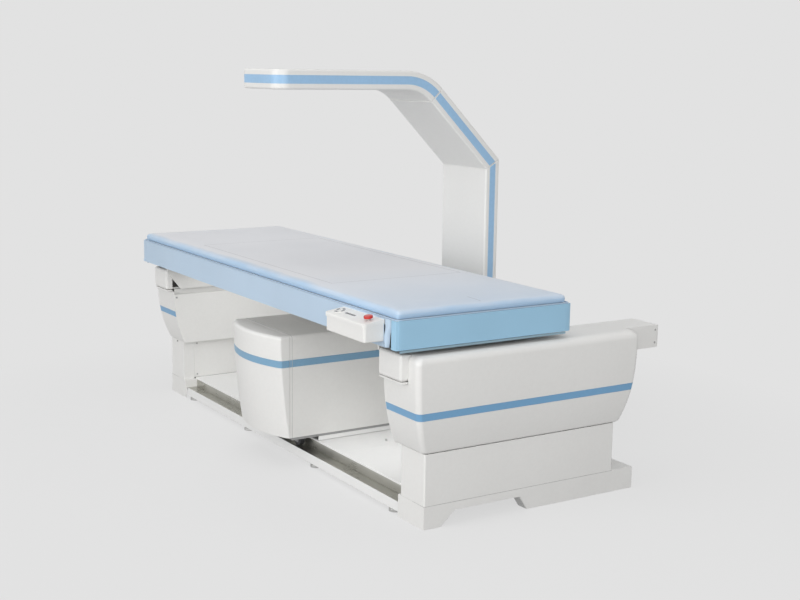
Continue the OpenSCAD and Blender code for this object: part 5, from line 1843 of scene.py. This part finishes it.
@dataclass
class Controls:
    """The control box with its keys, window and stop button."""

    corner: float = 9 * MM
    under: float = 4 * MM
    lid_corner: float = 11 * MM
    spare: float = 20 * MM
    mark_share: float = 0.6
    mark_rise: float = 0.3 * MM

    def rounded(self, node: str, corner: float, under: float, edge: float) -> None:
        """Round the front corners of a frame node's copy and its edges.

        Args:
            node: Name of the frame node.
            corner: Radius of its two front corners.
            under: Rounding of its lower edges.
            edge: Rounding of what stays sharp.
        """
        low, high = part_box(node)
        body = Work.block("corner_form", low, (high.x, high.y + self.spare, high.z + self.spare))
        body.pick(Pick.EDGE, lambda a, b: abs(a.z - b.z) > NEAR and max(a.y, b.y) < low.y + TINY)
        body.bevel(corner, 6).rest()
        if under > 0:
            body.pick(
                Pick.EDGE, lambda a, b: max(a.z, b.z) < low.z + TINY and min(a.y, b.y) < high.y
            ).bevel(under, 4).rest()
        work = Work.copy_of(node)
        work.modifier("BOOLEAN", operation="INTERSECT", object=body.obj, solver="EXACT")
        bpy.data.objects.remove(body.obj)
        work.soften(edge, 2, 40)
        work.finish(Body.TABLE, WHITE, [node])

    def build(self) -> None:
        """Finish the control box's pieces."""
        self.rounded("control_box", self.corner, self.under, 0.5 * MM)
        self.rounded("control_lid", self.lid_corner, 0.0, 0.8 * MM)
        for node in ("key_left", "key_right", "key_in", "key_out"):
            round_off(node, 0.5 * MM, WHITE)
            low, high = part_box(node)
            mark = Work.copy_of(node)
            mark.obj.name = f"{node}_mark"
            mark.resize_all((self.mark_share, self.mark_share, 1), (low + high) / 2)
            mark.shift(0, 0, self.mark_rise).finish(body_of(node), KEY)
        paint_nodes(("indicator_window", LENS), ("estop_stem", ZINC))
        round_off("estop_head", 1.0 * MM, RED, 3)


# ---- The studio ----


@dataclass
class Studio:
    """Floor, light and camera."""

    backdrop: float = 0.76
    ambient: float = 0.39
    bounce: float = 0.31
    floor_radius: float = 14.0
    floor_depth: float = 0.02
    floor_tone: float = 0.86
    floor_fade: tuple[float, ...] = (0.80, 1.0, 1.0, 1.9)
    reach: float = 6.0
    target: float = 0.6
    lamps: tuple[tuple[str, float, tuple[float, float, float], float], ...] = (
        ("key_light", 110.0, (0.0, -0.12, 0.99), 8.0),
        ("front_light", 124.0, (0.87, -0.42, 0.24), 4.0),
        ("low_light", 134.0, (0.12, -0.97, 0.20), 4.0),
    )
    bays: tuple[tuple[float, float, float], ...] = ((-0.50, 0.9, 3.1), (0.54, 0.42, 1.3))
    bay_place: tuple[float, float] = (-0.12, 0.535)
    bay_size: float = 0.5
    yaw: float = 57.9
    pitch: float = 10.13
    roll: float = -0.792
    eye: tuple[float, float, float] = (3.972, -2.347, 1.330)
    sensor: float = 36.0
    focal: float = 57.9573

    def glow(self, work: NodeWork, kind: str, strength: float) -> Socket:
        """Add a white shader that shines.

        Args:
            work: The node tree's work.
            kind: Type name of the shader.
            strength: Its strength.

        Returns:
            The shader's socket.
        """
        node = work.add(kind)
        node.inputs["Color"].default_value = (1, 1, 1, 1)
        node.inputs["Strength"].default_value = strength
        return node.outputs[0]

    def blend(self, work: NodeWork, factor: Socket, a: Socket, b: Socket) -> Socket:
        """Blend two shaders.

        Args:
            work: The node tree's work.
            factor: Socket with the second one's share.
            a: The first shader's socket.
            b: The second shader's socket.

        Returns:
            The blend's socket.
        """
        mix = work.add("ShaderNodeMixShader")
        for socket, into in zip((factor, a, b), mix.inputs):
            work.join(socket, into)
        return mix.outputs[0]

    def seen_ray(self, work: NodeWork) -> Socket:
        """Give 1 for what the camera sees, straight or in a reflection."""
        path = work.add("ShaderNodeLightPath")
        return work.sum("MAXIMUM", path.outputs["Is Camera Ray"], path.outputs["Is Glossy Ray"])

    def world(self) -> None:
        """Set the backdrop and the light that comes from all round."""
        world = bpy.data.worlds.new("studio")
        world.use_nodes = True
        bpy.context.scene.world = world
        work = NodeWork(world.node_tree)
        work.tree.nodes.clear()
        seen = self.glow(work, "ShaderNodeBackground", self.backdrop)
        light = self.glow(work, "ShaderNodeBackground", self.ambient)
        both = self.blend(work, self.seen_ray(work), light, seen)
        work.join(both, work.add("ShaderNodeOutputWorld").inputs[0])

    def floor(self) -> None:
        """Lay the floor, whose own tone fades into the backdrop with distance."""
        work = Work.rod("studio_floor", (0, 0, -self.floor_depth), (0, 0, 0), self.floor_radius, 96)
        made = bpy.data.materials.new("studio_floor")
        made.use_nodes = True
        nodes = NodeWork(made.node_tree)
        made.node_tree.nodes.clear()
        seen = self.glow(nodes, "ShaderNodeEmission", self.backdrop)
        bounce = self.glow(nodes, "ShaderNodeEmission", self.bounce)
        matte = nodes.add("ShaderNodeBsdfDiffuse")
        matte.inputs["Color"].default_value = (self.floor_tone, self.floor_tone, self.floor_tone, 1)
        far = nodes.add("ShaderNodeVectorMath", operation="LENGTH")
        nodes.join(nodes.add("ShaderNodeTexCoord").outputs["Object"], far.inputs[0])
        fade = nodes.span(far.outputs["Value"], *self.floor_fade)
        shaded = self.blend(nodes, fade, matte.outputs[0], seen)
        both = self.blend(nodes, self.seen_ray(nodes), bounce, shaded)
        nodes.join(both, nodes.add("ShaderNodeOutputMaterial").inputs[0])
        work.obj.data.materials.append(made)

    def lamp(self, name: str, power: float, way: Sequence[float], size: float) -> None:
        """Hang one large soft light.

        Args:
            name: Name of the light.
            power: Its power in watts.
            way: Direction from the machine towards it.
            size: Its width.
        """
        data = bpy.data.lights.new(name, "AREA")
        data.shape = "DISK"
        data.size = size
        data.energy = power
        obj = link(name, data)
        towards = Vector(way).normalized()
        obj.location = Vector((0, 0, self.target)) + towards * self.reach
        obj.rotation_mode = "QUATERNION"
        obj.rotation_quaternion = towards.to_track_quat("Z", "Y")

    def bay_lamp(self, x: float, power: float, spread: float) -> None:
        """Hang a small soft light under the table, which opens up the shade over the deck.

        Args:
            x: Its place along the table.
            power: Its power in watts.
            spread: Angle that its light spreads over.
        """
        data = bpy.data.lights.new("bay_light", "AREA")
        data.shape = "SQUARE"
        data.size = self.bay_size
        data.energy = power
        data.spread = spread
        obj = link("bay_light", data)
        obj.location = (x, *self.bay_place)
        obj.visible_camera = False
        obj.visible_glossy = False

    def camera(self) -> None:
        """Set up the camera."""
        yaw, pitch, roll = (math.radians(a) for a in (self.yaw, self.pitch, self.roll))
        ahead = Vector((-math.sin(yaw) * math.cos(pitch), math.cos(yaw) * math.cos(pitch), -math.sin(pitch)))
        right = Vector((math.cos(yaw), math.sin(yaw), 0))
        up = right.cross(ahead)
        c, s = math.cos(roll), math.sin(roll)
        right, up = c * right - s * up, s * right + c * up
        data = bpy.data.cameras.new("camera")
        data.sensor_width = self.sensor
        data.lens = self.focal
        data.clip_end = 50
        obj = link("camera", data)
        turn = Matrix((right, up, -ahead)).transposed().to_4x4()
        obj.matrix_world = Matrix.Translation(Vector(self.eye)) @ turn
        bpy.context.scene.camera = obj

    def build(self) -> None:
        """Build the whole studio."""
        self.world()
        self.floor()
        for lamp in self.lamps:
            self.lamp(*lamp)
        for bay in self.bays:
            self.bay_lamp(*bay)
        self.camera()
        bpy.context.scene.view_settings.view_transform = "Standard"


def main() -> None:
    """Build the studio and the machine, from the floor up."""
    logging.basicConfig(level=logging.INFO, format="%(message)s", stream=sys.stdout)
    Studio().build()
    for assembly in (Base(), Pedestals(), Scanner(), CArm(), Table(), Controls()):
        LOG.info("== %s", type(assembly).__name__)
        assembly.build()


if __name__ == "__main__":
    main()
